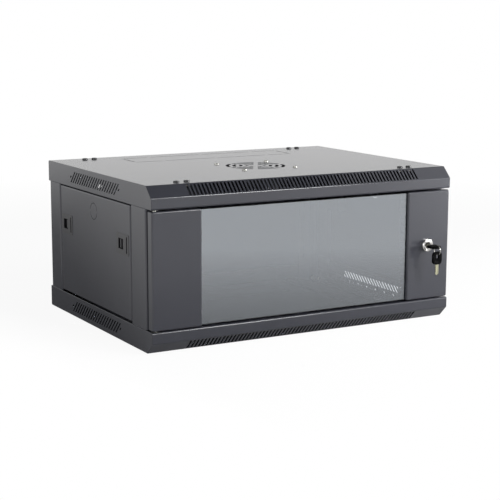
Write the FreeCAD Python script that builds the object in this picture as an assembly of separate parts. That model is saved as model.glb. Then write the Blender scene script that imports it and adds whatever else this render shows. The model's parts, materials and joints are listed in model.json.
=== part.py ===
import FreeCAD, Part
import math
import os

from FreeCAD import Vector

# A wall-mounted 19 inch rack cabinet of four units, with a glazed front door,
# lift-off side panels and a roof fan. Millimetres; X to the right, Y to the
# back, Z up; the origin is the centre of the base.

# Cabinet
CABINET_WIDTH = 600.0
CABINET_DEPTH = 450.0
CABINET_HEIGHT = 278.0

# Sheet gauges
COVER_SHEET = 1.2
POST_SHEET = 1.5
PANEL_SHEET = 1.0
DOOR_SHEET = 1.2
BACK_SHEET = 1.2
CARRIER_SHEET = 1.5
RAIL_SHEET = 2.0
BEND_INSIDE = 1.8
EDGE_ROUND = 0.8

# Screws and their holes are drawn with flat sides
FASTENER_SIDE_COUNT = 12
SCREW_FIT = 0.1

# Top and bottom covers
COVER_FLANGE = 38.0
COVER_CHAMFER = 19.2
COVER_LIP = 20.0

# Straight vents in the front chamfer of a cover
FRONT_VENT_COUNT = 66
FRONT_VENT_PITCH = 7.0
FRONT_VENT_WIDTH = 3.8
FRONT_VENT_MARGIN = 2.2

# Slanted vents in the side flanges of a cover
SIDE_VENT_COUNT = 20
SIDE_VENT_PITCH = 10.1
SIDE_VENT_WIDTH = 4.6
SIDE_VENT_HEIGHT = 20.6
SIDE_VENT_LEAN = 20.0
SIDE_VENT_END_HEIGHT = 4.0
SIDE_VENT_FROM_FRONT = 233.0
SIDE_VENT_FROM_EDGE = 19.3

# Roof fan and its punched grille
FAN_SIZE = 120.0
FAN_DEPTH = 38.0
FAN_HOLE_PITCH = 105.0
FAN_FROM_FRONT = 188.0
FAN_BORE = 115.0
FAN_CORNER = 7.0
FAN_FLANGE = 5.0
FAN_WAIST = 4.0
FAN_MOTOR_RADIUS = 29.0
FAN_MOTOR_PLATE = 4.0
FAN_ARM_WIDTH = 9.0
FAN_ARM_COUNT = 4
FAN_HUB_RADIUS = 30.0
FAN_HUB_HEIGHT = 26.0
FAN_HUB_ROUND = 3.0
FAN_HUB_GAP = 0.4
FAN_SHAFT_RADIUS = 2.5
FAN_SHAFT_CLEARANCE = 0.05
FAN_BLADE_COUNT = 7
FAN_BLADE_TIP_GAP = 1.0
FAN_BLADE_SHEET = 1.8
FAN_BLADE_CHORD = 27.0
FAN_BLADE_CAMBER = 3.0
FAN_BLADE_PITCH = 40.0
FAN_SCREW_RADIUS = 2.1
FAN_SCREW_HEAD_RADIUS = 4.2
FAN_SCREW_HEAD = 2.0
FAN_SCREW_LENGTH = 16.0
GRILLE_RING_COUNT = 4
GRILLE_RING_PITCH = 12.0
GRILLE_INNER_RADIUS = 15.5
GRILLE_SLOT = 6.0
GRILLE_SPOKE_COUNT = 6
GRILLE_SPOKE_WIDTH = 8.0

# Cable entry, a knock-out held by small tabs
ENTRY_WIDTH = 336.0
ENTRY_DEPTH = 66.0
ENTRY_FROM_BACK = 76.0
ENTRY_SLIT = 2.6
ENTRY_TAB = 8.0
ENTRY_TAB_COUNT = 3

# Corner posts
POST_SETBACK = 22.0
FRONT_POST_WIDTH = 58.0
FRONT_POST_RETURN = 30.0
REAR_POST_SETBACK = 6.0
REAR_POST_WIDTH = 50.0
REAR_POST_RETURN = 38.0
PANEL_RECESS = 11.0
PANEL_SEAT = 8.0
POST_TONGUE = 22.0
POST_TONGUE_LAP = 8.0
POST_TONGUE_INSET = 4.0
POST_FOOT_GAP = 1.0

# Side panels
PANEL_INSET = 0.8
PANEL_GAP_FRONT = 3.6
PANEL_GAP_REAR = 1.6
PANEL_GAP_TOP = 1.6
PANEL_GAP_BOTTOM = 3.0
PANEL_SEAT_GAP = 0.3
PANEL_KNOCKOUT_DIAMETER = 30.0
PANEL_KNOCKOUT_FROM_TOP = 30.0
PANEL_KNOCKOUT_SLIT = 1.0
PANEL_KNOCKOUT_TAB = 4.0

# Slide latches of the side panels
LATCH_LENGTH = 50.0
LATCH_HEIGHT = 36.0
LATCH_PROUD = 0.6
LATCH_RIM = 3.0
LATCH_DEPTH = 18.0
LATCH_WALL = 1.5
LATCH_CORNER = 3.0
LATCH_FIT = 0.2
LATCH_Z = 168.5
LATCH_FROM_EDGE = 6.0
LATCH_WINDOW_WIDTH = 19.0
LATCH_WINDOW_HEIGHT = 18.0
LATCH_WINDOW_OFFSET = 7.0
LATCH_SLIT_WIDTH = 4.0
LATCH_SLIT_HEIGHT = 28.0
LATCH_SLIT_OFFSET = 17.0
LATCH_TRAVEL = 6.5
SLIDER_RECESS = 7.0
SLIDER_PLATE = 2.5
SLIDER_LENGTH = 26.0
SLIDER_HEIGHT = 22.0
SLIDER_END_GAP = 0.5
SLIDER_RIDGE = 3.5
SLIDER_RIDGE_SINK = 1.0
SLIDER_RIDGE_SIDE_GAP = 1.5
BOLT_HEIGHT = 10.0
BOLT_SHEET = 3.0
BOLT_CLEARANCE = 0.8
BOLT_GUIDE_GAP = 0.3
BOLT_END_GAP = 1.0

# Back panel and its wall holes
BACK_SIDE_GAP = 6.0
BACK_LAP = 8.0
BACK_FOLD = 12.0
WALL_HOLE_SPACING_X = 400.0
WALL_HOLE_SPACING_Z = 50.0
WALL_HOLE_FROM_TOP = 78.0
WALL_HOLE_RADIUS = 5.0
BACK_SCREW_ROW_COUNT = 3
BACK_SCREW_FROM_END = 16.0
BACK_SCREW_INSET = 20.0
BACK_SCREW_RADIUS = 2.5
BACK_SCREW_HEAD_RADIUS = 4.6
BACK_SCREW_HEAD = 2.4
BACK_SCREW_LENGTH = 9.0

# Rail carriers, screwed to the covers
CARRIER_FROM_SIDE = 44.5
CARRIER_WIDTH = 49.5
CARRIER_WEB = 31.8
CARRIER_HOLE_LENGTH = 6.5
CARRIER_HOLE_HEIGHT = 4.0
CARRIER_HOLE_PITCH = 15.0
CARRIER_HOLE_FROM_EDGE = 7.2
CARRIER_HOLE_FROM_END = 12.0
CARRIER_NOTCH_GAP = 1.0
CARRIER_FRONT_GAP = 32.0
CARRIER_BACK_GAP = 14.0
CARRIER_SCREW_FROM_WEB = 20.5
CARRIER_SCREW_SPACING = 19.0
CARRIER_SCREW_FROM_FRONT = 40.0
CARRIER_SCREW_FROM_BACK = 22.0
CARRIER_SCREW_RADIUS = 3.0
CARRIER_SCREW_HEAD_RADIUS = 5.2
CARRIER_SCREW_HEAD = 2.6
CARRIER_NUT_WIDTH = 10.0
CARRIER_NUT_HEIGHT = 4.5

# Nineteen inch rails: 451 mm between their flanges, 465.1 mm between their rows of holes
RACK_UNIT_COUNT = 4
RACK_UNIT = 44.45
RAIL_HOLE = 9.5
RAIL_HOLE_FROM_EDGE = 7.05
RAIL_HOLE_FIRST = 6.35
RAIL_HOLE_STEP = 15.875
RAIL_FLANGE = 28.2
RAIL_WEB = 30.0
RAIL_SIDE_GAP = 0.3
RAIL_END_GAP = 1.0
RAIL_FRONT_FROM_FRONT = 50.0
RAIL_BACK_FROM_BACK = 48.0
RAIL_TRAVEL = 100.0
RAIL_BOLT_FROM_FACE = 18.0
RAIL_BOLT_DROP = 11.0
RAIL_BOLT_RADIUS = 3.0
RAIL_BOLT_FIT = 0.4
RAIL_BOLT_HEAD_RADIUS = 5.2
RAIL_BOLT_HEAD = 3.0
RAIL_NUT_WIDTH = 10.0
RAIL_NUT_HEIGHT = 5.0
RAIL_NUT_GAP = 0.2
RAIL_BOLT_TIP = 1.0

# Front door
DOOR_DEPTH = 15.0
DOOR_SIDE_GAP = 0.8
DOOR_GAP_TOP = 2.6
DOOR_GAP_BOTTOM = 1.8
STILE_WIDTH = 92.0
GLASS_SETBACK = 5.0
GLASS_THICKNESS = 4.0
GLASS_OVERLAP = 16.0
GLASS_END_GAP = 1.5
GLASS_CORNER = 1.5
TAPE_THICKNESS = 1.0
TAPE_WIDTH = 11.0
SEAT_WIDTH = 14.0

# Door hinge
HINGE_INSET = 9.0
HINGE_PIN_RADIUS = 3.0
HINGE_FIT = 0.06
HINGE_HOLE_FIT = 0.1
BUSH_RADIUS = 5.0
BUSH_FLANGE_RADIUS = 7.0
BUSH_FLANGE = 0.8
BUSH_LENGTH = 4.5
HINGE_PIN_REACH = 7.0
HINGE_PIN_HEAD_RADIUS = 5.0
HINGE_PIN_HEAD = 3.0
HINGE_PIN_HEAD_GAP = 0.2
BOLT_BRACKET_DROP = 32.0
BOLT_BRACKET_SHEET = 2.0
BOLT_BRACKET_WIDTH = 16.0
BOLT_BRACKET_LEG = 14.0
BOLT_TAIL = 9.0
BOLT_HANDLE = 16.0
SPRING_WIRE = 0.7
SPRING_RADIUS = 4.3
SPRING_TURN_COUNT = 6
SPRING_SIDE_COUNT = 8
SPRING_END_GAP = 0.1

# Cam lock
LOCK_INSET = 50.0
LOCK_PROUD = 6.0
LOCK_FACE_RADIUS = 11.5
LOCK_FACE_CHAMFER = 2.0
LOCK_BODY_RADIUS = 9.5
LOCK_BODY_FIT = 0.2
LOCK_NUT_WIDTH = 25.0
LOCK_NUT_HEIGHT = 4.0
PLUG_RADIUS = 6.0
PLUG_FIT = 0.06
PLUG_SINK = 0.8
PLUG_DRIVE = 7.0
KEYWAY_FIT = 0.1
CAM_SHEET = 2.0
CAM_WIDTH = 16.0
CAM_LENGTH = 33.0
CAM_CLEARANCE = 1.3
CAM_SCREW_RADIUS = 2.0
CAM_SCREW_HEAD_RADIUS = 4.5
CAM_SCREW_HEAD = 2.5
CAM_SCREW_LENGTH = 8.0

# Keys and their ring
KEY_BLADE_WIDTH = 6.5
KEY_BLADE_SHEET = 2.0
KEY_BLADE_LENGTH = 19.0
KEY_TIP = 2.5
KEY_NOTCH_COUNT = 3
KEY_NOTCH_PITCH = 3.6
KEY_NOTCH_DEPTH = 1.2
KEY_TANG = 9.0
KEY_STAND = 5.0
BOW_LENGTH = 23.5
BOW_WIDTH = 20.0
BOW_THICKNESS = 4.5
BOW_CORNER = 6.5
BOW_BRIDGE = 4.8
BOW_HOLE_LENGTH = 7.8
BOW_HOLE_WIDTH = 6.2
BOW_HOLE_CORNER = 1.0
RING_INNER_RADIUS = 8.0
RING_WALL = 1.5
RING_WIDTH = 1.8
RING_TOP_GAP = 0.9
RING_SPARE_GAP = 0.5

# Places worked out from the sizes above
SIDE = CABINET_WIDTH / 2
FRONT = -CABINET_DEPTH / 2
BACK = CABINET_DEPTH / 2
TOP = CABINET_HEIGHT
OPENING_LOW = COVER_FLANGE
OPENING_HIGH = TOP - COVER_FLANGE
CARRIER_TOP = TOP - COVER_SHEET
CARRIER_OUTER = SIDE - CARRIER_FROM_SIDE
CARRIER_INNER = CARRIER_OUTER - CARRIER_WIDTH
CARRIER_SCREW_OUTER = CARRIER_OUTER - CARRIER_SCREW_FROM_WEB
CARRIER_SCREW_INNER = CARRIER_SCREW_OUTER - CARRIER_SCREW_SPACING
POST_FRONT = FRONT + POST_SETBACK
PANEL_FRONT = POST_FRONT + FRONT_POST_WIDTH
POST_BACK = BACK - REAR_POST_SETBACK
PANEL_BACK = POST_BACK - REAR_POST_WIDTH
DOOR_LOW = OPENING_LOW + DOOR_GAP_BOTTOM
DOOR_HIGH = OPENING_HIGH - DOOR_GAP_TOP
DOOR_SIDE = SIDE - DOOR_SIDE_GAP
STILE_EDGE = SIDE - STILE_WIDTH
HINGE_X = -SIDE + HINGE_INSET
HINGE_Y = FRONT + DOOR_DEPTH / 2
LOCK_X = SIDE - LOCK_INSET
LOCK_Z = TOP / 2
CAM_FRONT = POST_FRONT + POST_SHEET + CAM_CLEARANCE
PANEL_FACE = -SIDE + PANEL_INSET
FAN_Y = FRONT + FAN_FROM_FRONT
RAIL_FACE_FRONT = FRONT + RAIL_FRONT_FROM_FRONT
RAIL_FACE_BACK = BACK - RAIL_BACK_FROM_BACK
RAIL_OUTER = CARRIER_OUTER - CARRIER_SHEET - RAIL_SIDE_GAP
RAIL_INNER = RAIL_OUTER - RAIL_FLANGE
X_AXIS = Vector(1, 0, 0)
Y_AXIS = Vector(0, 1, 0)
Z_AXIS = Vector(0, 0, 1)
HEXAGON_SIDE_COUNT = 6
OVERCUT = 1.0
TINY = 1e-4


def box(x0, x1, y0, y1, z0, z1):
    """Block between two opposite corners."""
    return Part.makeBox(x1 - x0, y1 - y0, z1 - z0, Vector(x0, y0, z0))


def prism(corners, sweep):
    """Straight-sided solid from a flat outline of 3D corners and a sweep vector."""
    face = Part.Face(Part.makePolygon(corners + corners[:1]))
    return face.extrude(sweep)


def prism_x(outline, x0, x1):
    """Solid from a (y, z) outline between two values of x."""
    return prism([Vector(x0, y, z) for y, z in outline], Vector(x1 - x0, 0, 0))


def prism_y(outline, y0, y1):
    """Solid from an (x, z) outline between two values of y."""
    return prism([Vector(x, y0, z) for x, z in outline], Vector(0, y1 - y0, 0))


def prism_z(outline, z0, z1):
    """Solid from an (x, y) outline between two values of z."""
    return prism([Vector(x, y, z0) for x, y in outline], Vector(0, 0, z1 - z0))


def rod(start, axis, radius, length):
    """Round bar from a start point along an axis."""
    return Part.makeCylinder(radius, length, start, axis)


def many_sided(start, axis, radius, length):
    """Bar with flat sides along an axis, for the many screws and their holes."""
    side = axis.cross(Z_AXIS if abs(axis.z) < 0.5 else X_AXIS)
    return prism(ring_of_corners(start, side, axis.cross(side), radius, FASTENER_SIDE_COUNT), axis * length)


def ring_of_corners(centre, side, other, radius, count):
    """Corners of a regular polygon in the plane of two directions."""
    corners = []
    for step in range(count):
        angle = 2 * math.pi * step / count
        corners.append(centre + side * (radius * math.cos(angle)) + other * (radius * math.sin(angle)))
    return corners


def joined(first, *others):
    """Pieces of one part, fused and with their coplanar faces merged."""
    return first.fuse(list(others)).removeSplitter()


def mirrored(shape):
    """The same part for the other side of the cabinet."""
    return shape.mirror(Vector(0, 0, 0), X_AXIS)


def is_along(edge, axis):
    """True where an edge is straight and parallel to an axis."""
    if not isinstance(edge.Curve, Part.Line):
        return False
    return edge.Curve.Direction.cross(axis).Length < TINY


def rounded(shape, radius, chosen):
    """Fillet on the edges that a test picks."""
    edges = [edge for edge in shape.Edges if chosen(edge)]
    return shape.makeFillet(radius, edges)


def folded_outline(path, sheet):
    """Closed outline of a sheet whose outer skin follows a path of (u, v) points.

    The sheet lies to the right of the path. Returns the skin and the inner line.
    """
    steps = [(b[0] - a[0], b[1] - a[1]) for a, b in zip(path, path[1:])]
    normals = [(dv / math.hypot(du, dv), -du / math.hypot(du, dv)) for du, dv in steps]
    before = normals[:1] + normals
    after = normals + normals[-1:]
    inner = []
    for (u, v), n, m in zip(path, before, after):
        reach = sheet / (1 + n[0] * m[0] + n[1] * m[1])
        inner.append((u + (n[0] + m[0]) * reach, v + (n[1] + m[1]) * reach))
    return list(path), inner


def folded_sheet(path, sheet, make_prism, start, end, axis):
    """Folded sheet with round bends: a path swept between two places on an axis."""
    skin, inner = folded_outline(path, sheet)
    solid = make_prism(skin + inner[::-1], start, end)
    outside = []
    inside = []
    for index in range(1, len(path) - 1):
        a, b, c = path[index - 1], path[index], path[index + 1]
        turn = (b[0] - a[0]) * (c[1] - b[1]) - (b[1] - a[1]) * (c[0] - b[0])
        outside.append(skin[index] if turn < 0 else inner[index])
        inside.append(inner[index] if turn < 0 else skin[index])
    solid = rounded(solid, BEND_INSIDE, lambda e: is_bend(e, axis, inside))
    return rounded(solid, BEND_INSIDE + sheet, lambda e: is_bend(e, axis, outside))


def is_bend(edge, axis, corners):
    """True for an edge along the axis that stands on one of the outline's corners."""
    if not is_along(edge, axis):
        return False
    middle = edge.CenterOfMass
    flat = [value for value, along in zip(middle, axis) if abs(along) < TINY]
    return any(math.hypot(flat[0] - u, flat[1] - v) < TINY for u, v in corners)


def along(start, count, pitch):
    """Evenly spaced places, centred on a middle value."""
    return [start + (index - (count - 1) / 2) * pitch for index in range(count)]


def flat_head_screw(place, outward, head_radius, head, radius, length):
    """Screw whose head stands on a surface, with its shank going in."""
    shank = many_sided(place - outward * length, outward, radius, length + head / 2)
    return joined(many_sided(place, outward, head_radius, head), shank)


def on_plane(edge, place, normal):
    """True where an edge lies wholly in a plane."""
    return all(abs((vertex.Point - place).dot(normal)) < TINY for vertex in edge.Vertexes)


def hexagon_nut(place, axis, width, height, make_hole, bore):
    """Plain hexagon nut standing on a place, with its hole along an axis."""
    side = axis.cross(Z_AXIS if abs(axis.z) < 0.5 else X_AXIS)
    corners = ring_of_corners(place, side, axis.cross(side), width / math.sqrt(3), HEXAGON_SIDE_COUNT)
    hole = make_hole(place - axis * OVERCUT, axis, bore, height + 2 * OVERCUT)
    return prism(corners, axis * height).cut(hole)


def cover_path():
    """Skin of a cover from its front lip over the roof to its rear flange, as (y, z)."""
    return [
        (FRONT + COVER_LIP, OPENING_HIGH),
        (FRONT, OPENING_HIGH),
        (FRONT, TOP - COVER_CHAMFER),
        (FRONT + COVER_CHAMFER, TOP),
        (BACK, TOP),
        (BACK, OPENING_HIGH),
    ]


def cover_blank():
    """Folded cover with its side flanges, before anything is punched."""
    path = cover_path()
    strip = folded_sheet(path, COVER_SHEET, prism_x, -SIDE, SIDE, X_AXIS)
    flange = prism_x(path[1:], -SIDE, -SIDE + COVER_SHEET)
    bends = path[1:-1]
    flange = rounded(flange, BEND_INSIDE + COVER_SHEET, lambda e: is_bend(e, X_AXIS, bends))
    blank = joined(strip, flange, mirrored(flange))
    return rounded(blank, EDGE_ROUND, is_cover_side_edge)


def is_cover_side_edge(edge):
    """True for the outer rim of a cover's side flanges, apart from its open lower edge."""
    left = on_plane(edge, Vector(-SIDE, 0, 0), X_AXIS)
    right = on_plane(edge, Vector(SIDE, 0, 0), X_AXIS)
    return (left or right) and not on_plane(edge, Vector(0, 0, OPENING_HIGH), Z_AXIS)


def front_vents():
    """Row of straight slots down the front chamfer."""
    low = Vector(0, FRONT, TOP - COVER_CHAMFER)
    high = Vector(0, FRONT + COVER_CHAMFER, TOP)
    slope = (high - low).normalize()
    out = Vector(0, -slope.z, slope.y)
    start = low + slope * FRONT_VENT_MARGIN
    end = high - slope * FRONT_VENT_MARGIN
    depth = out * (COVER_SHEET + OVERCUT)
    corners = [start - depth, end - depth, end + depth, start + depth]
    outline = [(corner.y, corner.z) for corner in corners]
    half = FRONT_VENT_WIDTH / 2
    return [prism_x(outline, x - half, x + half) for x in along(0, FRONT_VENT_COUNT, FRONT_VENT_PITCH)]


def side_vents(side):
    """Row of slanted slots in one side flange, with a short slot at each end."""
    middle_y = FRONT + SIDE_VENT_FROM_FRONT
    middle_z = TOP - SIDE_VENT_FROM_EDGE
    lean = -side * SIDE_VENT_LEAN / SIDE_VENT_HEIGHT
    places = along(middle_y, SIDE_VENT_COUNT + 2, SIDE_VENT_PITCH)
    slots = []
    for index, y in enumerate(places):
        at_end = index in (0, len(places) - 1)
        half = (SIDE_VENT_END_HEIGHT if at_end else SIDE_VENT_HEIGHT) / 2
        shift = -lean * half
        outline = [
            (y - SIDE_VENT_WIDTH / 2 - shift, middle_z - half),
            (y + SIDE_VENT_WIDTH / 2 - shift, middle_z - half),
            (y + SIDE_VENT_WIDTH / 2 + shift, middle_z + half),
            (y - SIDE_VENT_WIDTH / 2 + shift, middle_z + half),
        ]
        x = side * (SIDE - COVER_SHEET / 2)
        slots.append(prism_x(outline, x - COVER_SHEET - OVERCUT, x + COVER_SHEET + OVERCUT))
    return slots


def fan_grille():
    """Rings of curved slots under the fan, parted by straight spokes."""
    low = Vector(0, FAN_Y, TOP - COVER_SHEET - OVERCUT)
    height = COVER_SHEET + 2 * OVERCUT
    rings = []
    for index in range(GRILLE_RING_COUNT):
        middle = GRILLE_INNER_RADIUS + index * GRILLE_RING_PITCH
        outer = rod(low, Z_AXIS, middle + GRILLE_SLOT / 2, height)
        rings.append(outer.cut(rod(low, Z_AXIS, middle - GRILLE_SLOT / 2, height)))
    reach = GRILLE_INNER_RADIUS + GRILLE_RING_COUNT * GRILLE_RING_PITCH
    half = GRILLE_SPOKE_WIDTH / 2
    spokes = []
    for index in range(GRILLE_SPOKE_COUNT // 2):
        spoke = box(-reach, reach, FAN_Y - half, FAN_Y + half, low.z, low.z + height)
        spoke.rotate(Vector(0, FAN_Y, 0), Z_AXIS, index * 360 / GRILLE_SPOKE_COUNT)
        spokes.append(spoke)
    return [ring.cut(spokes) for ring in rings]


def fan_screw_places():
    """Centres of the four fan screws, as (x, y)."""
    half = FAN_HOLE_PITCH / 2
    return [(x, FAN_Y + y) for x in (-half, half) for y in (-half, half)]


def entry_slits():
    """Slits round the cable entry, with tabs left between them."""
    low = TOP - COVER_SHEET - OVERCUT
    high = TOP + OVERCUT
    middle_y = BACK - ENTRY_FROM_BACK
    half_x = ENTRY_WIDTH / 2
    half_y = ENTRY_DEPTH / 2
    slits = []
    for y in (middle_y - half_y, middle_y + half_y):
        slit = box(-half_x, half_x, y - ENTRY_SLIT / 2, y + ENTRY_SLIT / 2, low, high)
        for x in along(0, ENTRY_TAB_COUNT, ENTRY_WIDTH / ENTRY_TAB_COUNT):
            tab = box(x - ENTRY_TAB / 2, x + ENTRY_TAB / 2, y - ENTRY_SLIT, y + ENTRY_SLIT, low, high)
            slit = slit.cut(tab)
        slits.append(slit)
    for x in (-half_x, half_x):
        slits.append(box(x - ENTRY_SLIT / 2, x + ENTRY_SLIT / 2,
                         middle_y - half_y + ENTRY_TAB, middle_y + half_y - ENTRY_TAB, low, high))
    return slits


def carrier_screw_places():
    """Centres of the screws that hold the two carriers of one cover, as (x, y)."""
    columns = (-CARRIER_SCREW_OUTER, -CARRIER_SCREW_INNER, CARRIER_SCREW_INNER, CARRIER_SCREW_OUTER)
    rows = (FRONT + CARRIER_SCREW_FROM_FRONT, BACK - CARRIER_SCREW_FROM_BACK)
    return [(x, y) for x in columns for y in rows]


def roof_holes(places, radius):
    """Screw holes down through the roof sheet."""
    low = TOP - COVER_SHEET - OVERCUT
    return [many_sided(Vector(x, y, low), Z_AXIS, radius, COVER_SHEET + 2 * OVERCUT) for x, y in places]


def cover(hinge_x, extra_cuts):
    """Cover in its place at the top, with its vents, screw holes and hinge hole."""
    cuts = front_vents() + side_vents(-1) + side_vents(1) + entry_slits()
    cuts += roof_holes(carrier_screw_places(), CARRIER_SCREW_RADIUS + SCREW_FIT)
    cuts.append(rod(Vector(hinge_x, HINGE_Y, OPENING_HIGH - OVERCUT), Z_AXIS,
                    BUSH_RADIUS + HINGE_HOLE_FIT, COVER_SHEET + 2 * OVERCUT))
    return cover_blank().cut(cuts + extra_cuts)


def turned_over(shape):
    """A roof part turned half round its long axis, to serve at the bottom."""
    turned = shape.copy()
    turned.rotate(Vector(0, 0, TOP / 2), Y_AXIS, 180)
    return turned


def top_cover():
    fan_holes = roof_holes(fan_screw_places(), FAN_SCREW_RADIUS + SCREW_FIT)
    return cover(HINGE_X, fan_grille() + fan_holes)


def bottom_cover():
    return turned_over(cover(-HINGE_X, []))


def post(path, low_y, high_y):
    """Left-hand corner post: a folded sheet with tongues that go inside both covers."""
    low = OPENING_LOW + POST_FOOT_GAP
    solid = folded_sheet(path, POST_SHEET, prism_z, low, OPENING_HIGH, Z_AXIS)
    tongue_x = -SIDE + COVER_SHEET
    front = low_y + POST_TONGUE_INSET
    back = high_y - POST_TONGUE_INSET
    upper = box(tongue_x, tongue_x + POST_SHEET, front, back,
                OPENING_HIGH - POST_TONGUE_LAP, OPENING_HIGH + POST_TONGUE)
    lower = box(tongue_x, tongue_x + POST_SHEET, front, back,
                OPENING_LOW - POST_TONGUE, low + POST_TONGUE_LAP)
    return joined(solid, upper, lower)


def front_post():
    """Front left post; its front return is what the door's lock holds behind."""
    path = [
        (-SIDE + FRONT_POST_RETURN, POST_FRONT),
        (-SIDE, POST_FRONT),
        (-SIDE, PANEL_FRONT),
        (-SIDE + PANEL_RECESS, PANEL_FRONT),
        (-SIDE + PANEL_RECESS, PANEL_FRONT + PANEL_SEAT),
    ]
    return post(path, POST_FRONT, PANEL_FRONT)


def back_screw_places():
    """Screws between a rear post and the back panel on the left, as (x, z)."""
    x = -SIDE + BACK_SCREW_INSET
    span = OPENING_HIGH - OPENING_LOW - 2 * BACK_SCREW_FROM_END
    return [(x, z) for z in along(TOP / 2, BACK_SCREW_ROW_COUNT, span / (BACK_SCREW_ROW_COUNT - 1))]


def back_holes(places, make_hole, radius):
    """Holes from front to back through the rear sheets."""
    depth = REAR_POST_SETBACK + POST_SHEET + BACK_SHEET + OVERCUT
    return [make_hole(Vector(x, BACK - depth, z), Y_AXIS, radius, depth) for x, z in places]


def rear_post():
    """Rear left post, open to the panel's recess in front."""
    path = [
        (-SIDE + PANEL_RECESS, PANEL_BACK - PANEL_SEAT),
        (-SIDE + PANEL_RECESS, PANEL_BACK),
        (-SIDE, PANEL_BACK),
        (-SIDE, POST_BACK),
        (-SIDE + REAR_POST_RETURN, POST_BACK),
    ]
    # The sheet lies on the cabinet's inner side of this path.
    solid = post(path, PANEL_BACK, POST_BACK)
    return solid.cut(back_holes(back_screw_places(), many_sided, BACK_SCREW_RADIUS + SCREW_FIT))


def back_panel():
    """Rear wall with stiffening folds and four round holes for wall bolts."""
    outer_y = POST_BACK - POST_SHEET
    half = SIDE - BACK_SIDE_GAP
    low = OPENING_LOW - BACK_LAP
    high = OPENING_HIGH + BACK_LAP
    path = [
        (outer_y - BACK_FOLD, high),
        (outer_y, high),
        (outer_y, low),
        (outer_y - BACK_FOLD, low),
    ]
    sheet = folded_sheet(path, BACK_SHEET, prism_x, -half, half, X_AXIS)
    wall_x = WALL_HOLE_SPACING_X / 2
    wall_z = WALL_HOLE_SPACING_Z / 2
    wall_middle = TOP - WALL_HOLE_FROM_TOP
    wall = [(x, wall_middle + z) for x in (-wall_x, wall_x) for z in (-wall_z, wall_z)]
    left = back_screw_places()
    screws = left + [(-x, z) for x, z in left]
    cuts = back_holes(wall, rod, WALL_HOLE_RADIUS)
    cuts += back_holes(screws, many_sided, BACK_SCREW_RADIUS + SCREW_FIT)
    return sheet.cut(cuts)


def back_panel_screws():
    screws = []
    for x, z in back_screw_places():
        for side in (x, -x):
            place = Vector(side, POST_BACK, z)
            screws.append(flat_head_screw(place, Y_AXIS, BACK_SCREW_HEAD_RADIUS, BACK_SCREW_HEAD,
                                          BACK_SCREW_RADIUS, BACK_SCREW_LENGTH))
    return Part.makeCompound(screws)


def panel_span():
    """Front, back, lower and upper edges of a side panel."""
    return (PANEL_FRONT + PANEL_GAP_FRONT, PANEL_BACK - PANEL_GAP_REAR,
            OPENING_LOW + PANEL_GAP_BOTTOM, OPENING_HIGH - PANEL_GAP_TOP)


def latch_middles():
    """Middle of the front and rear latch on a side panel, as y."""
    front, back, low, high = panel_span()
    reach = LATCH_FROM_EDGE + LATCH_LENGTH / 2
    return front + reach, back - reach


def panel_knockout():
    """Ring-shaped slit of the round knock-out, with two tabs."""
    front, back, low, high = panel_span()
    centre = Vector(PANEL_FACE - OVERCUT, (front + back) / 2, high - PANEL_KNOCKOUT_FROM_TOP)
    depth = PANEL_SHEET + 2 * OVERCUT
    radius = PANEL_KNOCKOUT_DIAMETER / 2
    ring = rod(centre, X_AXIS, radius, depth).cut(
        rod(centre, X_AXIS, radius - PANEL_KNOCKOUT_SLIT, depth))
    tabs = box(centre.x, centre.x + depth, centre.y - radius, centre.y + radius,
               centre.z - PANEL_KNOCKOUT_TAB / 2, centre.z + PANEL_KNOCKOUT_TAB / 2)
    return ring.cut(tabs)


def side_panel():
    """Left side panel: a shallow tray whose rim sits on the posts' seats."""
    front, back, low, high = panel_span()
    rim = PANEL_RECESS - PANEL_INSET - PANEL_SEAT_GAP
    outer = box(PANEL_FACE, PANEL_FACE + rim, front, back, low, high)
    bend = BEND_INSIDE + PANEL_SHEET
    outer = rounded(outer, bend, lambda e: is_panel_edge(e, PANEL_FACE + rim))
    inner = box(PANEL_FACE + PANEL_SHEET, PANEL_FACE + rim + OVERCUT,
                front + PANEL_SHEET, back - PANEL_SHEET, low + PANEL_SHEET, high - PANEL_SHEET)
    inner = rounded(inner, BEND_INSIDE, lambda e: is_panel_edge(e, PANEL_FACE + rim + OVERCUT))
    cuts = [inner, panel_knockout()]
    half_y = LATCH_LENGTH / 2 - LATCH_RIM + LATCH_FIT
    half_z = LATCH_HEIGHT / 2 - LATCH_RIM + LATCH_FIT
    for middle in latch_middles():
        cuts.append(box(PANEL_FACE - OVERCUT, PANEL_FACE + PANEL_SHEET + OVERCUT,
                        middle - half_y, middle + half_y, LATCH_Z - half_z, LATCH_Z + half_z))
    return outer.cut(cuts)


def is_panel_edge(edge, open_x):
    """True for every edge of a panel's tray but those of its open side."""
    return not on_plane(edge, Vector(open_x, 0, 0), X_AXIS)


def bolt_x():
    """Outer and inner face of a latch bolt, just behind the post's seat."""
    outer = -SIDE + PANEL_RECESS + POST_SHEET + BOLT_CLEARANCE
    return outer, outer + BOLT_SHEET


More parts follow.
